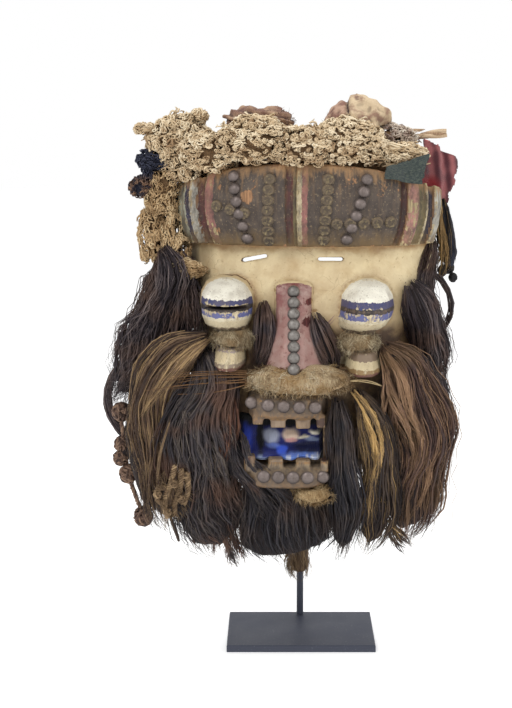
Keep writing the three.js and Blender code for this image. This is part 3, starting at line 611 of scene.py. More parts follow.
def tack_head(shape, tone, spot, out, radius, dome, hollowed):
    """One tack head: a flattened ball; a worn one is dented and darker inside its rim."""
    made = bmesh.ops.create_uvsphere(shape, u_segments=14, v_segments=10, radius=1)["verts"]
    lay = Vector(out).to_track_quat("Z", "Y").to_matrix().to_4x4()
    for vert in made:
        reach = math.hypot(vert.co.x, vert.co.y)
        lift = dome * max(vert.co.z, -0.2)
        if hollowed and vert.co.z > 0:
            lift = dome * (0.8 + 0.2 * min(1, (reach / 0.7) ** 4)) * min(1, (1 - reach) * 5 + 0.1)
            lift += 0.45 * noise.noise(vert.co * 2.4 + Vector(spot))
        dent = 1 + 0.05 * noise.noise(vert.co * 2 + Vector(spot))
        vert.co = Vector((vert.co.x * radius * dent, vert.co.y * radius * dent, lift * dent))
        rim = 1.3 * min(1, (reach / 0.85) ** 3)
        vert[tone] = rim if hollowed else noise.noise(Vector(spot) * 0.37) * 0.5 + 0.5
    place = Matrix.Translation(Vector(spot) / 1000) @ lay @ Matrix.Scale(0.001, 4)
    bmesh.ops.transform(shape, matrix=place, verts=made)


def piece_from(shape, name, materials):
    """The shape as a smooth-shaded piece of the object that rides on its one body."""
    mesh = bpy.data.meshes.new(name)
    for face in shape.faces:
        face.smooth = True
    shape.to_mesh(mesh)
    shape.free()
    piece = bpy.data.objects.new(name, mesh)
    bpy.context.scene.collection.objects.link(piece)
    for material in materials:
        mesh.materials.append(material)
    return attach(piece, "root")


def tack_metal(name, crown, rust, gloss, shine):
    """Smoked brass, crusted in its dents, and painted dark on its undersides as shade."""
    made, tree, shader, place = finish(name)
    crust = cloudy(tree, place, 500, 4, 0.6)
    base = mixed(tree, marked(tree, "tone"), crown, tuple(min(1, c * 1.7) for c in crown))
    some = spread(tree, crust, 0.5, 0.7, 0.0, 0.8)
    # Faces that turn downward are painted near black: painted shade under each tack head.
    facing_for_shade = level(tree, put(tree, "NewGeometry").outputs["Normal"])
    base = mixed(tree, spread(tree, facing_for_shade, 0.15, -0.7, 0.0, 0.75), base, colour(34, 28, 28))
    tree.links.new(mixed(tree, some, base, rust), shader.inputs["Base Color"])
    tree.links.new(spread(tree, some, 0, 1, shine, 0.1), shader.inputs["Metallic"])
    tree.links.new(spread(tree, crust, 0.3, 0.7, gloss, gloss + 0.25), shader.inputs["Roughness"])
    rough_skin(tree, shader, crust, 0.0002)
    return made


smoked = tack_metal("smoked_tack", colour(104, 94, 90), colour(78, 66, 58), 0.34, 0.6)
worn_tack = tack_metal("worn_tack", colour(82, 70, 56), colour(150, 134, 98), 0.6, 0.2)
silvery = tack_metal("silvery_tack", colour(112, 108, 104), colour(78, 68, 62), 0.34, 0.7)

FOREHEAD_ROWS = [
    ((-52, 400), (-44, 350), 6, False), ((-65, 376), (-43, 371), 3, True),
    ((-23, 398), (-26, 349), 7, True), ((22, 398), (19, 350), 7, True),
    ((51, 398), (38, 350), 6, False), ((29, 363), (70, 364), 5, True),
]
domes, rings = bmesh.new(), bmesh.new()
tones = {True: rings.verts.layers.float.new("tone"), False: domes.verts.layers.float.new("tone")}
for start, end, count, hollowed in FOREHEAD_ROWS:
    for across_at, height_at in rows_between(start, end, count):
        top_at = band_place(across_at, 1.0)[2]
        up_at = (height_at - BAND["bottom"]) / (top_at - BAND["bottom"])
        spot = band_place(across_at, up_at)
        sideways = band_place(across_at + 1, up_at) - spot
        rise = band_place(across_at, up_at + 0.02) - spot
        out = np.cross(sideways, rise)
        shape = rings if hollowed else domes
        tack_head(shape, tones[hollowed], spot, out, 5.0, 2.1 if hollowed else 3.6, hollowed)
for name, shape, metal in (("domed", domes, smoked), ("worn", rings, worn_tack)):
    piece_from(shape, f"forehead_{name}_tacks", [metal])


# Eight tacks down the nose, polished silvery by touch, and ten dark domed ones along the lips. Each
# is the same upholstery tack, pushed in until its head meets the wood.
for name, count, metal, radius in (("nose_tack", 8, silvery, 5.1), ("upper_lip_tack", 5, smoked, 5.3),
                                   ("lower_lip_tack", 5, smoked, 5.4)):
    shape = bmesh.new()
    tone = shape.verts.layers.float.new("tone")
    nodes = [f"{name}_{i + 1}" for i in range(count)]
    for node in nodes:
        low, high = (1000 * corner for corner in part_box(node))
        spot = ((low.x + high.x) / 2, high.y - 0.9, (low.z + high.z) / 2)
        tilt = 0.25 if name == "nose_tack" else 0.0
        tack_head(shape, tone, spot, (0, -1, tilt), radius, high.y - low.y - 0.4, False)
    made = piece_from(shape, name + "s", [metal])
    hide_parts(*nodes)


# The hair: locks of dark, brown and golden hair and fibre, each tied as a bundle at its root and
# pegged to the mask. Tufts and loose hairs follow the lock's solid over a core of matted hair,
# coloured near black as painted shade in the gaps between the tufts.
def run_of(line):
    """How far along a line each of its points lies."""
    return np.concatenate([[0], np.cumsum(np.linalg.norm(np.diff(line, axis=0), axis=1))])


def strands(name, paths, sides=3):
    """One mesh of thin tapered tubes. Each path is points and radii in millimetres, and a tone."""
    section = bpy.data.curves.new(name + "_section", "CURVE")
    ring = section.splines.new("POLY")
    ring.points.add(sides - 1)
    turns = -2 * math.pi * np.arange(sides) / sides
    for point, turn in zip(ring.points, turns):
        point.co = (math.cos(turn), math.sin(turn), 0, 1)
    ring.use_cyclic_u = True
    round_section = bpy.data.objects.new(name + "_section", section)
    bpy.context.scene.collection.objects.link(round_section)
    drawn = bpy.data.curves.new(name, "CURVE")
    drawn.dimensions, drawn.bevel_mode, drawn.bevel_object = "3D", "OBJECT", round_section
    drawn.use_fill_caps = True
    tones, lays, caps = [], [], []
    for line, radii, tone in paths:
        spline = drawn.splines.new("POLY")
        spline.points.add(len(line) - 1)
        spline.points.foreach_set("co", np.column_stack([line / 1000, np.ones(len(line))]).ravel())
        spline.points.foreach_set("radius", np.asarray(radii) / 1000)
        girth = 3 * float(np.max(radii))
        lay = np.empty((len(line), sides, 3))
        lay[:, :, 0] = girth * np.cos(turns) + line[0][0] * 7
        lay[:, :, 1] = girth * np.sin(turns) + line[0][2] * 7
        lay[:, :, 2] = run_of(line)[:, None] * 0.05
        lays.append(lay.reshape(-1, 3))
        caps.append(np.concatenate([lay[-1], lay[0]]))
        tones.append(tone)
    thread = bpy.data.objects.new(name, drawn)
    bpy.context.scene.collection.objects.link(thread)
    graph = bpy.context.evaluated_depsgraph_get()
    mesh = bpy.data.meshes.new_from_object(thread.evaluated_get(graph))
    bpy.data.objects.remove(thread)
    bpy.data.objects.remove(round_section)
    rings = [len(lay) for lay in lays]
    mark(mesh, "tone", np.concatenate([np.repeat(tones[::-1], 2 * sides), np.repeat(tones, rings)]))
    layer = mesh.attributes.new("lay", "FLOAT_VECTOR", "POINT")
    layer.data.foreach_set("vector", np.concatenate([*caps[::-1], *lays]).astype(np.float32).ravel())
    shape = bmesh.new()
    shape.from_mesh(mesh)
    bpy.data.meshes.remove(mesh)
    bmesh.ops.remove_doubles(shape, verts=shape.verts, dist=1e-7)
    bmesh.ops.recalc_face_normals(shape, faces=shape.faces)
    return shape


def middle_line(places, steps):
    """A lock's middle at even steps: points, half widths and the directions across and out of it."""
    spots = np.array([place[:3] for place in places], float)
    ends = np.vstack([2 * spots[0] - spots[1], spots, 2 * spots[-1] - spots[-2]])
    share = np.linspace(0, len(spots) - 1, 8 * len(spots))
    i = np.minimum(share.astype(int), len(spots) - 2)
    f = (share - i)[:, None]
    a, b, c, d = ends[i], ends[i + 1], ends[i + 2], ends[i + 3]
    line = 0.5 * (2 * b + (c - a) * f + (2 * a - 5 * b + 4 * c - d) * f**2 + (3 * b - a - 3 * c + d) * f**3)
    widths = np.interp(share, range(len(spots)), [place[3] for place in places])
    run = run_of(line)
    even = np.linspace(0, run[-1], steps)
    line = np.column_stack([np.interp(even, run, line[:, k]) for k in range(3)])
    along = np.gradient(line, axis=0)
    along /= np.linalg.norm(along, axis=1)[:, None]
    across = np.cross((0, -1, 0), along)
    across /= np.linalg.norm(across, axis=1)[:, None]
    return line, np.interp(even, run, widths), across, np.cross(along, across)


def combed(places, thick, tufts, hairs, rng, wave, curl, tones, streaks=(), size=0.95, tip=0.3):
    """A lock as fine tufts that wave together and loose hairs round them, both as paths.

    Its places are its middle line and half width; tip is how far the hair runs on past the last."""
    last, before = np.array(places[-1], float), np.array(places[-2], float)
    beyond = last + tip * (last - before)
    beyond[3] = max(0.6 * last[3], 1)
    steps = 60
    line, widths, across, deep = middle_line([*places, beyond], steps)
    length = run_of(line)[-1]
    sway = rng.uniform(0, 6.3, 2)
    root = 0.9 if widths[0] > 9 else 0.6

    def path(u, v, drift, start, end, crimp):
        at = np.linspace(start, end, max(5, int(length * (end - start) / 9.5)))
        step = at * (steps - 1)
        i = np.minimum(step.astype(int), steps - 2)
        f = (step - i)[:, None]
        half = np.interp(step, range(steps), widths)
        gather = root + (1 - root) * np.minimum(1, at / 0.15)
        side = (u * gather + drift[0] * at**1.4) * half
        front = (v * gather + drift[1] * at**1.4) * np.minimum(thick, half * 1.3)
        swing = np.minimum(1, at * 2.5) * wave
        side += swing * np.sin(length * at / 13 + sway[0] + 2.2 * u + v)
        front += swing * 0.7 * np.cos(length * at / 11 + sway[1] + 2.4 * u)
        beat = length * at * 2 * math.pi / rng.uniform(22, 34)
        side += crimp * (0.3 + at) * np.sin(beat + rng.uniform(0, 6.3))
        front += crimp * (0.3 + at) * np.cos(beat + rng.uniform(0, 6.3))
        spot = line[i] * (1 - f) + line[i + 1] * f
        return spot + across[i] * side[:, None] + deep[i] * front[:, None]

    bundles, loose, roots = [], [], []
    for _ in range(tufts):
        angle, reach = rng.uniform(0, 2 * math.pi), math.sqrt(rng.uniform(0.4, 1.0))
        u, v = reach * math.cos(angle), reach * math.sin(angle)
        v = -v if v < 0 and rng.random() < 0.45 else v
        tone = rng.uniform(*tones) * rng.uniform(0.7, 1.0)
        for middle, wide, lift in streaks:
            tone += lift * math.exp(-(((u - middle) / wide) ** 2)) * rng.uniform(0.4, 1)
        drift = rng.normal(0, 0.16, 2)
        end = float(np.clip(rng.normal(0.88, 0.07), 0.6, 0.98))
        spots = path(u, v, drift, rng.uniform(0, 0.09), end, curl * 0.7)
        swell = np.interp(np.linspace(0, 1, len(spots)), [0, 0.12, 0.5, 0.8, 1], [0.3, 0.9, 1, 0.7, 0.08])
        bundles.append((spots, size * rng.uniform(0.5, 1.3) * swell, tone))
        roots.append((u, v, drift, tone, end))
    for _ in range(hairs):
        u, v, drift, tone, end = roots[rng.integers(len(roots))]
        far = 3.0 if rng.random() < 0.1 else 1.0
        u, v = np.array([u, v]) * 1.05 + rng.normal(0, 0.08, 2)
        end = min(1.0, end + rng.uniform(-0.12, 0.12))
        spots = path(u, v, drift + rng.normal(0, 0.1 * far, 2), rng.uniform(0, 0.25), end, curl * far**0.5)
        thin = rng.uniform(0.22, 0.4) * (1 - 0.8 * np.linspace(0, 1, len(spots)) ** 2)
        loose.append((spots, thin, tone + rng.normal(0.12, 0.2)))
    return bundles, loose


def join(shape, other):
    """Adds one shape to another and frees it."""
    mesh = bpy.data.meshes.new("joined")
    other.to_mesh(mesh)
    other.free()
    shape.from_mesh(mesh)
    bpy.data.meshes.remove(mesh)


def painted_as(shape, index):
    """Gives a whole shape one of its piece's finishes."""
    for face in shape.faces:
        face.material_index = index


def hair_mesh(name, bundles, loose):
    """Tufts, four-sided, and loose hairs, three-sided, as one shape."""
    shape = strands(name + "_tufts", bundles, 4)
    if loose:
        join(shape, strands(name + "_hairs", loose))
    return shape


def fibre_look(name, dark, middle, light, rough=0.5, streak=1.0, patches=None, scale=30):
    """A fibre's finish: its tone picks dark, middle or light, with single hairs drawn along it.

    Patches of another colour, where sun, dust or old dye has changed it, come and go over it."""
    made, tree, shader, place = finish(name)
    hairs = cloudy(tree, marked(tree, "lay", "Vector"), streak, 3, 0.6)
    patch = spread(tree, cloudy(tree, place, 55, 2), 0.3, 0.7, -0.12, 0.12)
    fine = spread(tree, hairs, 0.25, 0.75, -0.34, 0.34)
    tone = total(tree, total(tree, marked(tree, "tone"), patch), fine)
    shade = stepped(tree, tone, [(0.0, dark, 1), (0.5, middle, 1), (1.0, light, 1)], sharp=False)["Color"]
    if patches:
        turned = mixed(tree, spread(tree, tone, 0.0, 1.0, 0.55, 0.1), patches, colour(30, 22, 20))
        shade = mixed(tree, spread(tree, cloudy(tree, place, scale, 3), 0.47, 0.62, 0.0, 0.75), shade, turned)
    tree.links.new(shade, shader.inputs["Base Color"])
    tree.links.new(spread(tree, hairs, 0.2, 0.8, rough + 0.15, rough - 0.05), shader.inputs["Roughness"])
    shader.inputs["Specular IOR Level"].default_value = 0.35
    rough_skin(tree, shader, hairs, 0.0005)
    return made


def core_of(node, name, shrink, voxel=0.004):
    """The matted inside of a soft bundle: its solid, evened out and drawn in by some millimetres."""
    inner = plain_copy(node, name, voxel)
    points, normals = points_of(inner.data), points_of(inner.data, "normal")
    lumps = np.array([noise.noise(Vector(p) * 160) for p in points])
    points -= normals * ((shrink - 0.8 * lumps) / 1000)[:, None]
    inner.data.vertices.foreach_set("co", points.astype(np.float32).ravel())
    mark(inner.data, "tone", np.full(len(points), 0.3))
    layer = inner.data.attributes.new("lay", "FLOAT_VECTOR", "POINT")
    layer.data.foreach_set("vector", (points * (900, 900, 160)).astype(np.float32).ravel())
    shape = bmesh.new()
    shape.from_mesh(inner.data)
    bpy.data.objects.remove(inner)
    return shape


def dressed(name, node, core, fibres, looks):
    """The piece that stands for a soft solid: its core and its fibres as one mesh of two finishes."""
    painted_as(core, 1)
    join(fibres, core)
    piece = piece_from(fibres, name, looks)
    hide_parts(node)


# The cores are coloured darker than the fibres: painted shade in the gaps between them.
matted_core_shade = fibre_look("matted_shaded_core", colour(26, 20, 21), colour(40, 32, 32), colour(58, 46, 44), 0.8)
HAIR = {
    "dark_hair": fibre_look("dark_hair", colour(34, 28, 34), colour(66, 56, 60), colour(122, 108, 104),
                            patches=colour(112, 84, 68)),
    "jaw_hair": fibre_look("jaw_hair", colour(30, 27, 32), colour(60, 54, 58), colour(122, 110, 100),
                           patches=colour(124, 88, 68), scale=26),
    "brown_hair": fibre_look("brown_hair", colour(42, 31, 28), colour(92, 70, 55), colour(176, 146, 104)),
    "red_hair": fibre_look("red_hair", colour(40, 29, 30), colour(86, 63, 56), colour(160, 126, 96),
                           patches=colour(136, 106, 76), scale=24),
    "black_hair": fibre_look("black_hair", colour(22, 20, 26), colour(44, 41, 48), colour(108, 98, 92),
                             patches=colour(92, 74, 62), scale=26),
    "golden_hair": fibre_look("golden_hair", colour(38, 30, 30), colour(82, 66, 54), colour(200, 164, 106)),
    "auburn_hair": fibre_look("auburn_hair", colour(52, 32, 30), colour(106, 70, 56), colour(168, 122, 84)),
}
LOCKS = [
    # name, slot, finish, wave, curl, streaks (across, width, lift), then the lock's bundles: half
    # thickness, tufts, loose hairs, tones and places (x, y, z, half width); "other" ones are auburn
    ("left_temple_hair", "dark_hair", "dark_hair", 3.4, 3.0, ((0.5, 0.2, 0.3),), [
        (26, 140, 280, (0, 0.8),
         [(-116, 0, 341, 9), (-106, -8, 322, 19), (-110, -10, 297, 25), (-121, -8, 267, 27),
          (-139, -4, 239, 18), (-153, 0, 213, 9)]),
        (6, 26, 70, (0, 0.7), [(-92, -20, 314, 8), (-88, -24, 290, 11), (-89, -27, 264, 9)])]),
    ("right_temple_hair", "dark_hair", "dark_hair", 2.2, 1.6, ((-0.4, 0.3, 0.3),), [
        (24, 80, 170, (0, 0.8),
         [(88, -32, 314, 9), (98, -28, 294, 15), (106, -19, 266, 16), (111, -8, 238, 11)]),
        (6, 30, 90, (0, 0.7),
         [(109, -2, 348, 4), (106, -10, 330, 8), (101, -18, 308, 11), (104, -20, 286, 9)])]),
    ("left_side_hair", "dark_hair", "dark_hair", 2.4, 1.6, (), [
        (24, 60, 80, (0, 0.6),
         [(-113, 6, 262, 25), (-118, 8, 222, 26), (-120, 8, 182, 24), (-117, 6, 142, 23),
          (-105, 2, 104, 15)])]),
    ("right_side_hair", "dark_hair", "dark_hair", 2.2, 1.4, (), [
        (22, 50, 80, (0, 0.6),
         [(107, 6, 252, 11), (110, 10, 220, 14), (110, 10, 180, 16), (105, 6, 137, 16), (90, 2, 100, 11)])]),
    ("left_jaw_hair", "dark_hair", "jaw_hair", 3.2, 2.0,
     ((-0.45, 0.2, 0.6), (0.35, 0.15, 0.5), (0, 0.1, 0.3)), [
        (18, 150, 260, (0, 0.65),
         [(-80, -36, 264, 9), (-71, -54, 236, 22), (-82, -53, 205, 31), (-83, -45, 164, 36),
          (-78, -37, 123, 35), (-66, -32, 92, 20)]),
        (5, 30, 90, (0, 0.6),
         [(-60, -62, 186, 6), (-45, -60, 160, 9), (-28, -55, 138, 12), (-12, -50, 112, 15)]),
        (4, 26, 60, (0.1, 0.6),
         [(-52, -62, 196, 7), (-48, -66, 172, 9), (-30, -66, 152, 12), (-14, -60, 128, 14)]),
        (4, 20, 50, (0, 0.7),
         [(-56, -62, 226, 4), (-58, -63, 204, 6), (-60, -61, 184, 6), (-66, -60, 166, 4)], "other"),
        (3, 12, 30, (0, 0.6), [(-66, -36, 112, 4), (-60, -36, 94, 6), (-54, -34, 78, 6)], "other"),
        (3, 8, 50, (0.5, 1.1), [(-76, -66, 190, 4), (-70, -64, 168, 7), (-64, -60, 142, 7)]),
        (3, 12, 40, (0.9, 1.3), [(-95, -64, 218, 3), (-90, -64, 206, 5), (-88, -62, 196, 4)]),
        (4, 16, 36, (0.5, 1.2),
         [(-92, -38, 128, 5), (-84, -36, 108, 7), (-79, -34, 92, 6), (-78, -34, 84, 4)]),
        (4, 14, 30, (0.4, 1.0),
         [(-66, -38, 114, 5), (-60, -37, 96, 6), (-54, -36, 82, 6), (-50, -36, 76, 5)])]),
    ("left_brown_lock", "brown_hair", "brown_hair", 2.0, 1.0, ((0.55, 0.25, 0.5), (-0.4, 0.2, 0.25)), [
        (12, 120, 300, (0, 0.75),
         [(-75, -59, 274, 7), (-97, -55, 262, 17), (-118, -48, 236, 21), (-126, -42, 200, 17),
          (-125, -37, 157, 14), (-120, -32, 118, 9)]),
        (3, 22, 80, (0.75, 1.15),
         [(-74, -63, 272, 3), (-90, -66, 260, 6), (-108, -63, 241, 6), (-126, -56, 214, 4)])]),
    ("nose_hair_left", "dark_hair", "dark_hair", 1.0, 0.8, (), [
        (10, 30, 90, (0.2, 1.0),
         [(-31, -44, 300, 5), (-30, -50, 277, 10), (-32, -52, 259, 9), (-37, -56, 247, 5)])]),
    ("nose_hair_right", "dark_hair", "dark_hair", 1.0, 0.8, (), [
        (10, 28, 80, (0.2, 1.0),
         [(9, -44, 290, 5), (17, -50, 268, 10), (22, -52, 254, 10), (24, -56, 242, 5)])]),
    ("right_black_lock", "black_hair", "black_hair", 1.6, 1.0, ((0.6, 0.2, 0.3),), [
        (10, 60, 150, (0, 0.8),
         [(28, -66, 224, 8), (31, -64, 197, 11), (34, -60, 163, 13), (37, -52, 127, 15),
          (33, -44, 94, 11)])]),
    ("right_golden_lock", "brown_hair", "golden_hair", 2.0, 1.4, ((-0.6, 0.2, 0.4),), [
        (11, 74, 170, (0, 0.6),
         [(44, -64, 231, 7), (56, -61, 205, 13), (63, -55, 170, 17), (62, -47, 130, 18), (56, -40, 97, 10)]),
        (2, 28, 90, (0.85, 1.3),
         [(40, -70, 232, 3), (55, -72, 209, 3.5), (62, -67, 181, 3.5), (60, -58, 146, 3),
          (66, -51, 128, 3)]),
        (4, 12, 36, (0.2, 0.7), [(70, -46, 118, 4), (78, -44, 103, 6), (87, -42, 92, 6)])]),
    ("right_brown_lock", "red_hair", "red_hair", 3.2, 1.2,
     ((-0.15, 0.3, 0.4), (0.55, 0.15, 0.3), (-0.75, 0.15, 0.3)), [
        (17, 140, 300, (0, 0.8),
         [(64, -57, 267, 7), (81, -53, 251, 18), (92, -47, 219, 25), (97, -41, 184, 27),
          (92, -36, 142, 26), (85, -30, 107, 14)]),
        (3, 24, 70, (0.85, 1.3),
         [(66, -68, 262, 3), (80, -70, 240, 4), (86, -64, 212, 4), (100, -57, 184, 4), (101, -50, 152, 4),
          (92, -44, 122, 3)]),
        (3, 16, 50, (0.8, 1.2), [(66, -66, 250, 3), (72, -66, 226, 3), (84, -62, 200, 4), (92, -57, 176, 3)]),
        (2, 5, 16, (0.8, 1.1),
         [(62, -66, 261, 1.5), (68, -68, 240, 2), (65, -66, 216, 2), (69, -62, 196, 2)])]),
    ("beard", "black_hair", "black_hair", 2.8, 2.0, ((0.1, 0.2, 0.25),), [
        (16, 120, 240, (0, 0.6),
         [(-17, -38, 154, 40), (-14, -42, 122, 50), (-13, -38, 103, 46), (-11, -32, 90, 32)])]),
    ("left_loop_strand", "dark_hair", "dark_hair", 0.3, 0.3, (), [
        (3.4, 44, 60, (0, 0.8),
         [(-144, 4, 250, 3.4), (-162, 4, 224, 3.4), (-164, 4, 202, 3.4), (-154, 4, 182, 3.4),
          (-138, 4, 168, 2.4)])]),
    ("right_loop_strand", "dark_hair", "dark_hair", 0.3, 0.3, (), [
        (2.4, 12, 20, (0, 0.8),
         [(102, 4, 320, 2.4), (117, 4, 312, 2.4), (126, 4, 294, 2.4), (124, 4, 276, 2.4),
          (113, 4, 262, 2.4)])]),
]
for seed, (name, slot_name, look, wave, curl, streaks, parts) in enumerate(LOCKS):
    rng = np.random.default_rng(100 + seed)
    thin = "loop" in name
    bundles, loose, auburn = [], [], ([], [])
    for place_in, (thick, tufts, hairs, tones, places, *other) in enumerate(parts):
        drawn = combed(places, thick, tufts, hairs, rng, wave if place_in == 0 else 0.6 * wave, curl, tones,
                       () if place_in else streaks, 0.7 if place_in or thin else 1.0, 0.05 if thin else 0.3)
        kept = auburn if other else (bundles, loose)
        kept[0].extend(drawn[0])
        kept[1].extend(drawn[1])
    shape = hair_mesh(name, bundles, loose)
    if auburn[0]:
        second = hair_mesh(name + "_auburn", *auburn)
        painted_as(second, 2)
        join(shape, second)
    core = core_of(name, name + "_core", 0.8 if thin else 3.0, 0.0015 if thin else 0.004)
    dressed(name + "_fibres", name, core, shape, [HAIR[look], matted_core_shade, HAIR["auburn_hair"]])


# Tan fibre: a frizzed tuft of raffia that hangs from the beard round the rod, and a bunch of
# raffia cords, twisted and knotted by hand, before the left jaw.
def fur_hairs(middle, radii, count, length, comb, rng, tones=(0, 1), radius=0.24, shift=None):
    """Short hairs that start on an egg shape and lie over in the way they are combed."""
    paths = []
    for _ in range(count):
        out = rng.normal(size=3)
        out /= np.linalg.norm(out)
        if out[1] > 0.5 or out[2] > 0.85:
            continue
        start = np.array(middle) + out * radii * rng.uniform(0.88, 1.0)
        near = Vector(start) * 0.16
        matting = np.array([noise.noise(near + Vector((0, 0, 31.7 * axis))) for axis in range(3)])
        way = out * 0.35 + np.array(comb) + matting * 1.2 + rng.normal(0, 0.15, 3)
        way /= np.linalg.norm(way)
        curl = rng.normal(0, 0.3, 3) + matting * 0.6 - out * 0.3
        at = np.linspace(0, 1, 4)[:, None]
        reach = length * rng.uniform(0.6, 1.2)
        line = start + way * reach * at + curl * reach * at**2 * 0.6
        tone = 0.5 + 0.8 * noise.noise(Vector(start) * 0.13) + rng.normal(0, 0.14)
        tone += shift(start) if shift else 0
        taper = radius * rng.uniform(0.7, 1.2) * (1 - 0.7 * at[:, 0])
        paths.append((line, taper, float(np.clip(tone, *tones))))
    return paths


raffia = fibre_look("raffia", colour(58, 44, 36), colour(112, 90, 66), colour(166, 140, 106), 0.7)
rng = np.random.default_rng(7)
tuft = combed([(-1, 34, 84, 5), (-1, 34, 66, 9), (-1, 34, 44, 11)], 9, 14, 130, rng, 1.5, 1.8, (0.1, 0.9),
              size=0.7)
dressed("rod_tuft_fibres", "rod_tuft", core_of("rod_tuft", "tuft_core", 4.5, 0.003),
        hair_mesh("rod_tuft", *tuft), [raffia, raffia])


def twisted(places, plies, lay, radius, pitch, rng):
    """Plies laid round each other into a cord, each ply a round strand of its own."""
    line, _, across, deep = middle_line(places, 46)
    run = run_of(line)
    paths = []
    for ply in range(plies):
        turn = 2 * math.pi * (run / pitch + ply / plies)
        path = line + across * (lay * np.cos(turn))[:, None] + deep * (lay * np.sin(turn))[:, None]
        paths.append((path, np.full(len(line), radius) * rng.uniform(0.85, 1.1), rng.uniform(0.3, 1)))
    return paths


def wound(middle, radii, count, radius, rng, tones=(0, 1)):
    """Fibre wound round and round into a ball or knot."""
    paths = []
    for _ in range(count):
        one = rng.normal(size=3)
        one /= np.linalg.norm(one)
        two = np.cross(one, rng.normal(size=3))
        two /= np.linalg.norm(two)
        turn = np.linspace(0, rng.uniform(3.5, 6.0), 14)
        swell = 1 + 0.1 * np.sin(turn * 3 + rng.uniform(0, 6))
        loop = (np.outer(np.cos(turn), one) + np.outer(np.sin(turn), two)) * swell[:, None]
        paths.append((np.array(middle) + loop * radii * 0.86, np.full(14, radius), rng.uniform(*tones)))
    return paths


rng = np.random.default_rng(8)
cords = []
for places in ([(-103, -62, 168, 3), (-107, -61, 152, 3), (-112, -58, 136, 3), (-110, -58, 122, 3)],
               [(-98, -63, 165, 3), (-99, -62, 149, 3), (-104, -59, 134, 3), (-104, -58, 124, 3)],
               [(-93, -62, 162, 3), (-93, -61, 146, 3), (-97, -59, 134, 3)],
               [(-112, -60, 134, 3), (-118, -58, 138, 3), (-117, -58, 147, 3), (-110, -60, 148, 3)]):
    cords += twisted(places, 4, 1.7, 1.0, 9, rng)
straw = combed([(-106, -68, 208, 1.5), (-114, -67, 182, 2), (-119, -63, 150, 1.5)], 1, 3, 6, rng, 0.4, 0.3,
               (0.5, 1), size=0.6)
for middle in ((-104, -63, 152), (-99, -63, 140), (-110, -62, 128), (-95, -62, 158), (-118, -60, 142)):
    cords += wound(middle, np.array((3.6, 3, 3.6)), 12, 0.7, rng, (0.2, 1))
fuzz = fur_hairs((-105, -60, 146), np.array((13, 6, 22)), 260, 7, (0.1, -0.3, -0.6), rng, (0, 0.8))
stick = [(np.array([(-109, -47, 121), (-105, -46, 109), (-102, -44, 98)], float), (1.4, 1.6, 1.1), 0.1)]
dressed("raffia_twist_fibres", "raffia_twist", core_of("raffia_twist", "raffia_core", 2.5, 0.002),
        hair_mesh("raffia_twist", cords + straw[0] + stick, straw[1] + fuzz), [raffia, raffia])


# The knots: a dark-brown fibre cord knotted into five balls, which hangs at the outside of the
# left hair from the side of the mask.
knotted = fibre_look("knotted_fibre", colour(48, 36, 32), colour(104, 80, 68), colour(150, 122, 100), 0.7)
rng = np.random.default_rng(9)
knots = twisted([(-153, -6, 200, 2), (-149, -6, 166, 2), (-147, -6, 145, 2), (-135, -4, 108, 2)],
                3, 1.1, 1.1, 9, rng)
for middle, wide, high in (((-152, -6, 200), 8, 8.5), ((-152, -6, 172), 7, 7), ((-153, -6, 160), 7, 7),
                           ((-147, -6, 146), 8, 8.5), ((-135, -4, 108), 8.5, 9)):
    knots += wound(middle, np.array((wide, wide, high)), 30, 1.0, rng)
dressed("left_knots_fibres", "left_knots", core_of("left_knots", "knots_core", 0.6, 0.0015),
        hair_mesh("left_knots", knots, []), [knotted, matted_core_shade])


# The furs: strips of pale hide with the hair on, glued round the eye necks, under the nose and
# on the chin. The hair is short, soft and matted, and combed down.
pelt = fibre_look("pale_fur", colour(120, 92, 62), colour(186, 166, 132), colour(226, 212, 184), 0.8,
                  patches=colour(176, 138, 84), scale=70)
grey_fur = fibre_look("grey_fur", colour(108, 90, 66), colour(164, 148, 118), colour(208, 194, 164), 0.8,
                      patches=colour(150, 120, 80), scale=90)
ochre_fur = fibre_look("ochre_fur", colour(120, 92, 60), colour(184, 158, 116), colour(222, 202, 166), 0.8,
                       patches=colour(160, 124, 74), scale=80)
straw_look = fibre_look("straw", colour(104, 74, 48), colour(150, 112, 74), colour(206, 184, 138), 0.5)
FURS = [
    ("left_eye_fur", (-56.5, -54, 271.5), (18, 22.5, 11), 1150, 4.5, (0, -0.1, -0.5), grey_fur),
    ("right_eye_fur", (45.5, -54, 268.5), (17.5, 22.5, 11.5), 1150, 4.5, (0, -0.1, -0.5), grey_fur),
    ("moustache_fur", (-2, -66, 239.5), (46, 18.5, 14), 2500, 5, (0.1, -0.1, -0.4), pelt),
    ("chin_fur", (9, -58, 143.5), (18, 14.5, 9), 800, 4.5, (0.1, -0.1, -0.3), ochre_fur),
]
for seed, (name, middle, radii, count, length, comb, look) in enumerate(FURS):
    rng = np.random.default_rng(30 + seed)
    golden = (lambda p: -0.35 * max(0, min(1, (p[0] - 12) / 22))) if name == "moustache_fur" else None
    shape = strands(name, fur_hairs(middle, np.array(radii), count, length, comb, rng, shift=golden))
    if name == "moustache_fur":
        whiskers = []
        for i in range(9):
            root = (-44, -70 - 0.3 * i, 247 - 1.3 * i)
            tip = (-100 - 4 * (i % 4) - 14 * (i == 7), -69, 245 - 2.1 * i)
            sag = np.outer(np.sin(np.linspace(0, 3, 9)), rng.normal(0, 1.8, 3))
            line = np.linspace(root, tip, 9) + sag
            whiskers.append((line, np.linspace(0.38, 0.2, 9), 0.1 + 0.1 * (i % 3)))
        pale = np.linspace((38, -71, 239), (64, -68, 234), 7)
        for lift in (1.5, 3):
            arch = np.outer(np.sin(np.linspace(0, 3, 7)), (0, -1, lift))
            whiskers.append((pale + arch, np.linspace(0.5, 0.3, 7), 1.0))
        drawn = strands("whiskers", whiskers, 4)
        painted_as(drawn, 2)
        join(shape, drawn)
    core = core_of(name, name + "_core", 1.0, 0.003)
    dressed(name + "_hairs", name, core, shape, [look, look, straw_look])
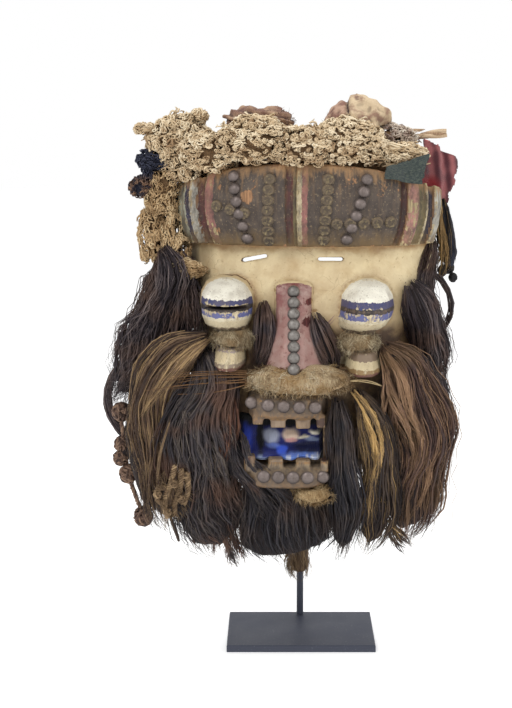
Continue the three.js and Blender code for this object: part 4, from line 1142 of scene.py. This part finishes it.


# The crown and its ends: unravelled yarn, curled tight and heaped over the band's top edge.
# Each clump is a lumpy springy heap of short crinkled cords over a core of the same yarn, coloured
# darker as painted shade between the cords; deep cords are painted darker and upper ones lighter,
# as painted shade and light.
def curls(middle, radii, count, rng, thick, stride, tight, fall=0.0, shut=()):
    """Crinkled cords that wander over a lumpy egg shape; those inside the shut eggs are left out."""
    middle, radii = np.array(middle, float), np.array(radii, float)
    size, steps = radii.mean(), 14

    def lumpy(spot):
        return 1 + 0.16 * noise.noise(Vector(middle * 0.3 + spot * size * 0.11))

    paths = []
    for _ in range(count):
        spot = rng.normal(size=3)
        spot /= np.linalg.norm(spot)
        where = middle + spot * radii * lumpy(spot)
        if spot[2] < -0.75 or any((((where - m) / (np.array(r) * 0.86)) ** 2).sum() < 1 for m, r in shut):
            continue
        heading = np.cross(spot, rng.normal(size=3))
        heading[2] -= 2 * fall
        turn = rng.choice([-1, 1]) * rng.uniform(0.7, 1.5) * tight
        phase, beat, height = rng.uniform(0, 6.3), rng.uniform(0.9, 1.9), rng.uniform(-0.08, 0.05)
        free = 0.3 if rng.random() < 0.04 else 0.0
        line = []
        for step in range(steps):
            rise = 0.9 * math.sin(beat * step + phase)
            line.append(middle + spot * (radii * (lumpy(spot) + height + free * (step / steps) ** 2) + rise))
            heading -= spot * heading.dot(spot)
            heading /= np.linalg.norm(heading)
            side = np.cross(spot, heading)
            swing = turn + 0.7 * math.sin(beat * 0.8 * step + 2 * phase)
            heading = heading * math.cos(swing) + side * math.sin(swing)
            heading[2] -= fall * 0.5
            spot = spot + heading * stride / size
            spot /= np.linalg.norm(spot)
        # Cords lying deeper in the heap get a darker tone and those facing up a lighter one: painted shade and
        # light.
        tone = 0.55 + 2.5 * height + 0.5 * noise.noise(Vector(where) * 0.08) + 0.12 * spot[2]
        tone += rng.normal(0, 0.14)
        girth = np.interp(range(steps), [0, 1, steps - 3, steps - 1], [0.5, 1, 1, 0.4])
        paths.append((np.array(line), thick * rng.uniform(0.75, 1.2) * girth, float(tone)))
    return paths


yarn = fibre_look("crown_yarn", colour(150, 120, 88), colour(206, 182, 146), colour(238, 222, 192), 0.9, 0.5)
brown_yarn = fibre_look("brown_yarn", colour(126, 98, 66), colour(184, 154, 114), colour(218, 194, 154),
                        0.9, 0.5)
# The core is coloured darker than the yarn: painted shade in the gaps between the cords.
yarn_core_shade = fibre_look("yarn_core_shade", colour(104, 80, 56), colour(136, 108, 78), colour(164, 136, 102), 0.9)
frizz_black = fibre_look("black_frizz", colour(14, 15, 26), colour(30, 32, 50), colour(70, 70, 90), 0.7)
navy_frizz, tree, shader, place = finish("navy_and_brown_frizz")
blotch = cloudy(tree, place, 260, 3)
brown_part = mixed(tree, spread(tree, blotch, 0.46, 0.54), colour(40, 30, 38), colour(128, 98, 76))
dyed = mixed(tree, blotch, colour(18, 20, 34), colour(52, 56, 78))
lower = spread(tree, level(tree, place), 0.401, 0.393)
tree.links.new(mixed(tree, lower, dyed, brown_part), shader.inputs["Base Color"])
shader.inputs["Roughness"].default_value = 0.8
fleece = fibre_look("fleece", colour(132, 106, 98), colour(192, 172, 154), colour(230, 218, 200), 0.85,
                    patches=colour(126, 98, 98), scale=60)
HEAP = [
    # name, slot, finish, middle, radii, cords, thickness, stride, tightness, fall
    ("yarn_mid", "yarn", yarn, (1, -42, 422), (25, 23, 17), 490, 0.85, 1.4, 1.0, 0),
    ("yarn_mid_left", "yarn", yarn, (-38, -34, 426), (31, 26, 20), 650, 0.85, 1.4, 1.0, 0),
    ("yarn_right", "yarn", yarn, (35, -36, 425), (32, 24, 20), 670, 0.85, 1.4, 1.0, 0),
    ("yarn_left", "yarn", yarn, (-75, -23, 417), (26, 25, 18), 480, 0.85, 1.4, 1.0, 0),
    ("yarn_left_end", "yarn", yarn, (-101, -3, 424), (26, 27, 24), 500, 0.85, 1.6, 0.7, 0),
    ("cord_cluster", "yarn", yarn, (79, -24, 416), (23, 18, 10), 230, 0.85, 1.6, 0.7, 0),
    ("fleece_tuft", "fur", fleece, (74, -8, 429), (19, 20, 11), 330, 0.6, 1.4, 0.9, 0),
    ("yarn_left_upper", "yarn", brown_yarn, (-114, 0, 386), (15, 20, 24), 320, 0.8, 1.6, 0.6, 0.3),
    ("yarn_left_lower", "yarn", brown_yarn, (-121, 6, 348), (15, 19, 27), 310, 0.8, 1.6, 0.6, 0.35),
]
STRAYS = {  # smaller heaps beside the big ones: middle, radii, cords
    "yarn_left_end": [((-99, -6, 402), (14, 15, 9), 120), ((-92, -16, 401), (9, 10, 7), 70),
                      ((-127, -4, 436), (10, 8, 5), 60), ((-84, -6, 446), (7, 8, 6), 50)],
    "yarn_left_lower": [((-108, -3, 352), (9, 12, 24), 150), ((-101, -8, 338), (8, 9, 13), 80),
                        ((-97, -18, 322), (17, 8, 8), 160)],
    "yarn_mid_left": [((-37, -27, 439), (20, 12, 9), 120)],
}
eggs = [(row[3], row[4]) for row in HEAP]
for seed, (name, slot_name, look, middle, radii, count, thick, stride, tight, fall) in enumerate(HEAP):
    rng = np.random.default_rng(50 + seed)
    others = [egg for egg in eggs if egg[0] != middle]
    paths = curls(middle, radii, count, rng, thick, stride, tight, fall, others)
    for more_middle, more_radii, more_count in STRAYS.get(name, ()):
        paths += curls(more_middle, more_radii, more_count, rng, thick, stride, tight)
    if name == "cord_cluster":
        for i in range(16):
            start = (60 + rng.uniform(0, 8), -40, 428 - 1.3 * i)
            end = (90 + rng.uniform(-6, 6), -36, 421 - 1.2 * i)
            sag = np.outer(np.sin(np.linspace(0, 9, 14) + i), rng.normal(0, 0.9, 3))
            paths.append((np.linspace(start, end, 14) + sag, np.full(14, 0.9), rng.uniform(0.3, 1.0)))
    core = core_of(name, name + "_core", 4.0, 0.003)
    dressed(name + "_cords", name, core, strands(name, paths), [look, yarn_core_shade])

# The dark tuft at the left end: navy wool above, brown below, frizzed and matted.
rng = np.random.default_rng(65)
paths = []
for middle, radii, count in (((-121, -12, 411), (15, 12, 8), 110), ((-126, -10, 400), (6, 6, 8), 30),
                             ((-132, -8, 389), (10, 10, 9), 90)):
    paths += curls(middle, radii, count, rng, 0.7, 1.5, 0.9)
dressed("left_black_tuft_cords", "left_black_tuft",
        core_of("left_black_tuft", "black_core", 1.6, 0.003), strands("left_black_tuft", paths),
        [navy_frizz, frizz_black])


# The scraps of cloth: a crumpled blue rag behind the teeth, a green knitted scrap and a torn red
# one at the right end of the band. All are thin cotton, folded by hand and pushed into place.
def weave():
    """The group for woven or knitted cloth: crossed threads with slubs, read from the piece's UV map."""
    group = bpy.data.node_groups.new("weave", "ShaderNodeTree")
    group.interface.new_socket("Threads", in_out="INPUT", socket_type="NodeSocketFloat")
    group.interface.new_socket("Skew", in_out="INPUT", socket_type="NodeSocketFloat")
    for name in ("Height", "Worn"):
        group.interface.new_socket(name, in_out="OUTPUT", socket_type="NodeSocketFloat")
    given = group.nodes.new("NodeGroupInput").outputs
    place = put(group, "UVMap").outputs[0]
    bent = put(group, "Mix", data_type="VECTOR")
    bent.inputs[0].default_value = 0.01
    group.links.new(place, bent.inputs[4])
    group.links.new(put(group, "TexNoise", {"Vector": place, "Scale": 9}).outputs["Color"], bent.inputs[5])
    threads = {"Vector": bent.outputs[1], "Scale": given["Threads"], "Distortion": given["Skew"]}
    warp, weft = (put(group, "TexWave", threads, bands_direction=way).outputs["Fac"] for way in "XY")
    crossed = total(group, warp, weft, "MAXIMUM")
    slubs = cloudy(group, place, 14, 4)
    out = group.nodes.new("NodeGroupOutput")
    group.links.new(crossed, out.inputs["Height"])
    group.links.new(spread(group, slubs, 0.42, 0.68), out.inputs["Worn"])
    return group


WEAVE = weave()


def cloth_look(name, dye_and_shade, faded, threads, skew, relief=0.0006, shadow=0.5):
    """Matt cloth whose raised and rubbed threads have faded; dye_and_shade None reads the piece's own dye with
    its painted shade and highlight.
    """
    made, tree, shader, place = finish(name)
    woven = put(tree, "Group", {"Threads": threads, "Skew": skew}, node_tree=WEAVE)
    if dye_and_shade is None:
        dye_and_shade = marked(tree, "dye_and_shade", "Color")
    rubbed = mixed(tree, woven.outputs["Worn"], dye_and_shade, faded if faded else dye_and_shade)
    dark = mixed(tree, shadow, rubbed, (0.03, 0.03, 0.035, 1), "MULTIPLY")
    tree.links.new(mixed(tree, woven.outputs["Height"], dark, rubbed), shader.inputs["Base Color"])
    shader.inputs["Roughness"].default_value = 0.9
    shader.inputs["Sheen Weight"].default_value = 0.15
    rough_skin(tree, shader, woven.outputs["Height"], relief)
    return made


def cut_cloth(corners, cells, lift, thick, torn=0.0, seed=0):
    """A cut of cloth between four corners, lifted off its plane by lift(u, v), all in millimetres."""
    shape = bmesh.new()
    bmesh.ops.create_grid(shape, x_segments=cells[0], y_segments=cells[1], size=0.5, calc_uvs=False)
    layer = shape.loops.layers.uv.new("UVMap")
    for face in shape.faces:
        for loop in face.loops:
            loop[layer].uv = (loop.vert.co.x + 0.5, loop.vert.co.y + 0.5)
    if torn:
        rag = []
        for face in shape.faces:
            middle = face.calc_center_median()
            inside = 0.5 - max(abs(middle.x), abs(middle.y))
            if inside < torn * (0.5 + 0.9 * noise.noise(Vector((middle.x * 9, middle.y * 9, seed)))):
                rag.append(face)
        bmesh.ops.delete(shape, geom=rag, context="FACES")
    a, b, c, d = (Vector(corner) for corner in corners)
    out = (b - a).cross(d - a).normalized()
    for vert in shape.verts:
        u, v = vert.co.x + 0.5, vert.co.y + 0.5
        vert.co = (a.lerp(b, u).lerp(d.lerp(c, u), v) + out * lift(u, v)) / 1000
    bmesh.ops.solidify(shape, geom=shape.faces[:], thickness=thick / 1000)
    bmesh.ops.recalc_face_normals(shape, faces=shape.faces)
    return shape


def hump(u, v, middle_u, middle_v, wide, high):
    """A soft round swelling at one place of a cloth, from 0 to 1."""
    return math.exp(-(((u - middle_u) / wide) ** 2) - ((v - middle_v) / high) ** 2)


# The rag in the mouth, tucked in behind the wood and swelling out between the teeth. Its folds, as
# place across and up, spread, swelling and colour: blue, grey, pink and cream lumps, and hollows
# painted black and dark navy as painted shade; the widest black one is the shade behind the upper teeth.
RAG = [
    (0.10, 0.42, 0.11, 0.40, 1.5, colour(50, 72, 186)),
    (0.28, 0.50, 0.055, 0.36, -6.0, colour(14, 13, 24)),
    (0.39, 0.52, 0.105, 0.16, 5.5, colour(172, 178, 198)),
    (0.42, 0.34, 0.10, 0.07, 2.5, colour(104, 126, 200)),
    (0.50, 0.28, 0.07, 0.11, 2.5, colour(66, 102, 226)),
    (0.77, 0.30, 0.18, 0.12, -4.5, colour(22, 28, 78)),
    (0.82, 0.46, 0.10, 0.06, 2.0, colour(132, 146, 178)),
    (0.595, 0.56, 0.11, 0.14, 7.5, colour(232, 206, 184)),
    (0.60, 0.45, 0.07, 0.06, 1.0, colour(232, 172, 162)),
    (0.73, 0.51, 0.07, 0.04, 3.0, colour(236, 226, 200)),
    (0.85, 0.60, 0.09, 0.055, 4.5, colour(240, 232, 210)),
    (0.70, 0.17, 0.24, 0.07, 8.0, colour(110, 146, 236)),
    (0.25, 0.17, 0.20, 0.05, 8.0, colour(40, 54, 140)),
    (0.50, 0.97, 0.90, 0.30, -5.0, colour(10, 9, 12)),
    (0.30, 0.155, 0.085, 0.045, 11.0, colour(150, 166, 200)),
    (0.58, 0.155, 0.090, 0.045, 12.0, colour(120, 156, 240)),
    (0.85, 0.155, 0.085, 0.045, 12.0, colour(190, 204, 240)),
]


def tucked(u, v):
    """How far the rag stands out: from nothing at its hidden edges to 11 mm in the opening."""
    inside = 1.0
    for gap in ((u - 0.055) / 0.05, (0.935 - u) / 0.05, (v - 0.118) / 0.04, (0.95 - v) / 0.08):
        gap = min(1.0, max(0.0, gap))
        inside *= gap * gap * (3 - 2 * gap)
    folds = sum(row[4] * hump(u, v, *row[:4]) for row in RAG)
    creases = 1.6 * noise.noise(Vector((u * 9, v * 5, 3))) + 0.8 * noise.noise(Vector((u * 24, v * 14, 5)))
    return inside * (11 + folds + creases)


blue_cotton = cloth_look("blue_cotton", None, None, 18, 1.5, 0.0003, 0.2)
left, right, low, high, behind = -56, 23, 165, 210, -33
rag_shape = cut_cloth(
    [(left, behind, low), (right, behind, low), (right, behind, high), (left, behind, high)],
    (78, 48), tucked, 0.8)
rag = piece_from(rag_shape, "blue_rag", [blue_cotton])
dye_and_shade = rag.data.attributes.new("dye_and_shade", "FLOAT_COLOR", "POINT")
for vert in rag.data.vertices:
    u = (vert.co.x * 1000 - left) / (right - left) + 0.015 * noise.noise(vert.co * 200)
    v = (vert.co.z * 1000 - low) / (high - low) + 0.03 * noise.noise(vert.co * 180 + Vector((5, 5, 5)))
    # Above the middle the rag is painted near black: painted shade behind the upper teeth.
    shade = Vector(colour(30, 38, 112)).lerp(Vector(colour(9, 9, 12)), min(1.0, max(0.0, (v - 0.66) / 0.06)))
    for *fold, _, hue in RAG:
        share = (hump(u, v, *fold) - 0.36) / 0.3
        shade = shade.lerp(Vector(hue), min(1.0, max(0.0, share)))
    threads = noise.noise(Vector((vert.co.x * 900, 3, vert.co.z * 90)))
    if v < 0.2 and u > 0.5 and threads > 0.05:
        shade = shade.lerp(Vector(colour(236, 238, 244)), 0.7)
    dye_and_shade.data[vert.index].color = shade
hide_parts("mouth_cloth")


# The green scrap: knitted cotton, folded over the end of the yarn where it meets the band.
green_shape = cut_cloth(
    [(64, -54, 400), (95, -47, 395), (101, -43, 418), (66, -51, 408)], (40, 20),
    lambda u, v: 1.6 * math.sin(7 * u + 2 * v) + 1.2 * noise.noise(Vector((u * 5, v * 4, 9))), 1.3, 0.03, 4)
green = piece_from(green_shape, "green_scrap", [
    cloth_look("green_knit", colour(38, 58, 58), colour(104, 116, 100), 11, 0, 0.0012)])
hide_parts("green_cloth")


# The red scrap: thin torn cotton that hangs from the band's right end in upright folds, its faded
# dye painted dark maroon in the valleys of the folds and pale pink on their ridges as painted shade
# and highlight, and still bright at the lower corner that lies under the green one.
def red_folds(u, v):
    """How far the red scrap stands out, in millimetres."""
    pleats = 3.4 * math.sin(13 * u + 4 * v * v) * (0.4 + 0.6 * v)
    return pleats + 2.2 * noise.noise(Vector((u * 5, v * 4, 1)))


red_shape = cut_cloth(
    [(95, -14, 391), (121, 2, 376), (131, 4, 412), (100, -10, 430)], (40, 52), red_folds, 0.9, 0.07, 3)
red = piece_from(red_shape, "red_scrap", [cloth_look("red_cotton", None, None, 22, 1.0)])
dye_and_shade = red.data.attributes.new("dye_and_shade", "FLOAT_COLOR", "POINT")
for vert in red.data.vertices:
    bright = max(0.0, 1 - (vert.co.xz * 1000 - Vector((104, 388))).length / 13)
    across_at, up_at = (vert.co.x * 1000 - 106) / 22, (vert.co.z * 1000 - 382) / 46
    # Fold valleys are painted dark maroon and ridges pale pink: painted shade and highlight.
    fold = 0.45 + 0.6 * math.sin(15 * across_at + 4 * up_at * up_at) + 0.8 * noise.noise(vert.co * 120)
    shade = Vector(colour(96, 30, 44)).lerp(Vector(colour(198, 116, 116)), min(1.0, max(0.0, fold)))
    dye_and_shade.data[vert.index].color = shade.lerp(Vector(colour(178, 36, 44)), min(1.0, 2.2 * bright))
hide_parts("red_cloth")


# The bundles on the crown: brown cloth rolled round a wad, and a wad of hide drawn up in a seam.
# Both are stuffed loosely, laid on the crown between the yarn and the wood, and frayed.
def wad(node, name, materials, folds, fuzz):
    """A soft bundle: its solid, rounded, creased by folds(point) in millimetres, and frayed by fuzz."""
    copy = plain_copy(node, name, 0.0016)
    softened = bmesh.new()
    softened.from_mesh(copy.data)
    for _ in range(6):
        bmesh.ops.smooth_vert(softened, verts=softened.verts, factor=0.5,
                              use_axis_x=True, use_axis_y=True, use_axis_z=True)
    softened.normal_update()
    for vert in softened.verts:
        vert.co += vert.normal * (folds(vert.co * 1000) / 1000)
    bpy.data.objects.remove(copy)
    bends = softened.verts.layers.float.new("edge")
    solid = bpy.data.meshes.new("solid")
    softened.to_mesh(solid)
    for vert, bend in zip(softened.verts, bend_of(solid, 3)):
        vert[bends] = bend
    bpy.data.meshes.remove(solid)
    hairs = strands(name + "_fuzz", fuzz)
    painted_as(hairs, 1)
    join(softened, hairs)
    made = piece_from(softened, name, materials)
    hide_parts(node)
    return made


def bundle_look(name, crease_shade, surface, pale, scale, other, start, end):
    """Creased hide or cloth: painted dark in its creases as shade, pale in patches, and of another colour
    to the right of start and end."""
    made, tree, shader, place = finish(name)
    patch = cloudy(tree, place, scale, 4)
    worn_at = mixed(tree, spread(tree, patch, 0.42, 0.6), surface, pale)
    right_of = total(tree, level(tree, place, "X"), total(tree, patch, 0.012, "MULTIPLY"))
    turned = mixed(tree, spread(tree, patch, 0.5, 0.66, 0.0, 0.8), other, surface)
    worn_at = mixed(tree, spread(tree, right_of, start, end), worn_at, turned)
    # Creases are painted dark: painted shade.
    creased = mixed(tree, spread(tree, marked(tree, "edge"), 0.5, 0.3), worn_at, crease_shade)
    tree.links.new(creased, shader.inputs["Base Color"])
    shader.inputs["Roughness"].default_value = 0.85
    rough_skin(tree, shader, cloudy(tree, place, 500, 4), 0.0008)
    return made


def roll_folds(p):
    """The turns of the rolled cloth, with smaller creases across them."""
    return 1.5 * math.sin(p.z * 1.3 + p.x * 0.2 + 2.5 * noise.noise(p * 0.07)) + 1.2 * noise.noise(p * 0.3)


brown_cloth = bundle_look("brown_cloth_creased", colour(58, 38, 36), colour(116, 84, 70),
                          colour(158, 128, 102), 90, colour(52, 26, 42), -0.004, 0.004)
frayed = fur_hairs((-34, -2, 442), np.array((29, 23, 12)), 420, 4, (0.4, 0, 0.1), np.random.default_rng(80),
                   radius=0.3)
roll = wad("brown_cloth_bundle", "brown_roll", [brown_cloth, knotted], roll_folds, frayed)


def hide_folds(p):
    """The seam that draws the hide together, with wrinkles that run out from it."""
    away = p.x - 36
    seam = -4.5 * math.exp(-((away / 2.2) ** 2))
    wrinkles = 0.5 * math.sin(p.x * 0.55 + 3 * noise.noise(p * 0.08)) + 1.0 * noise.noise(p * 0.2)
    return seam + wrinkles


hide_look = bundle_look("creased_hide", colour(60, 40, 34), colour(126, 90, 76), colour(176, 144, 122), 100,
                        colour(196, 174, 142), 0.040, 0.044)
down = fur_hairs((45, 0, 441), np.array((27, 23, 17)), 500, 3, (0.3, 0, 0.1), np.random.default_rng(81))
hide = wad("hide_bundle", "hide_wad", [hide_look, grey_fur], hide_folds, down)


# The right end of the band: a rolled leather strip that stands out, and black and golden strips
# of fibre that hang beside the last stripe, knotted at their ends.
leather = fibre_look("rolled_leather", colour(110, 84, 62), colour(168, 138, 108), colour(204, 180, 148), 0.7)
rng = np.random.default_rng(70)
strip = twisted([(84, 2, 427, 3), (100, 0, 431, 4), (119, 0, 433, 2.5)], 2, 1.9, 2.2, 60, rng)
flat_end = combed([(66, -8, 421, 3), (82, -6, 428, 6), (98, -3, 432, 5)], 1.5, 12, 0, rng, 0.3, 0.3,
                  (0.4, 1), size=1.6)
dressed("leather_strip_rolled", "leather_strip", core_of("leather_strip", "leather_core", 0.5, 0.002),
        strands("leather_strip_drawn", strip + flat_end[0], 6), [leather, leather])

black = combed([(114, 4, 386, 4), (119, 9, 362, 6), (123, 11, 338, 8), (122, 11, 320, 7)],
               8, 34, 50, rng, 1.6, 1.2, (0, 0.35))
golden = combed([(112, 0, 384, 3), (115, 4, 362, 4), (119, 6, 336, 5), (116, 6, 318, 4)],
                4, 18, 30, rng, 1.8, 1.2, (0.8, 1.1))
knots = []
for middle, wide, high in (((124, 12, 320), 5, 5), ((128, 12, 312), 3.5, 4), ((119, 10, 318), 4, 5)):
    knots += wound(middle, np.array((wide, wide, high)), 20, 0.8, rng, (0, 0.2))
side_look = fibre_look("side_strip_fibre", colour(26, 26, 34), colour(66, 56, 44), colour(168, 134, 84), 0.6)
dressed("right_side_strips_fibres", "right_side_strips",
        core_of("right_side_strips", "side_strips_core", 1.8, 0.003),
        hair_mesh("side_strips", black[0] + golden[0] + knots, black[1] + golden[1]),
        [side_look, frizz_black])
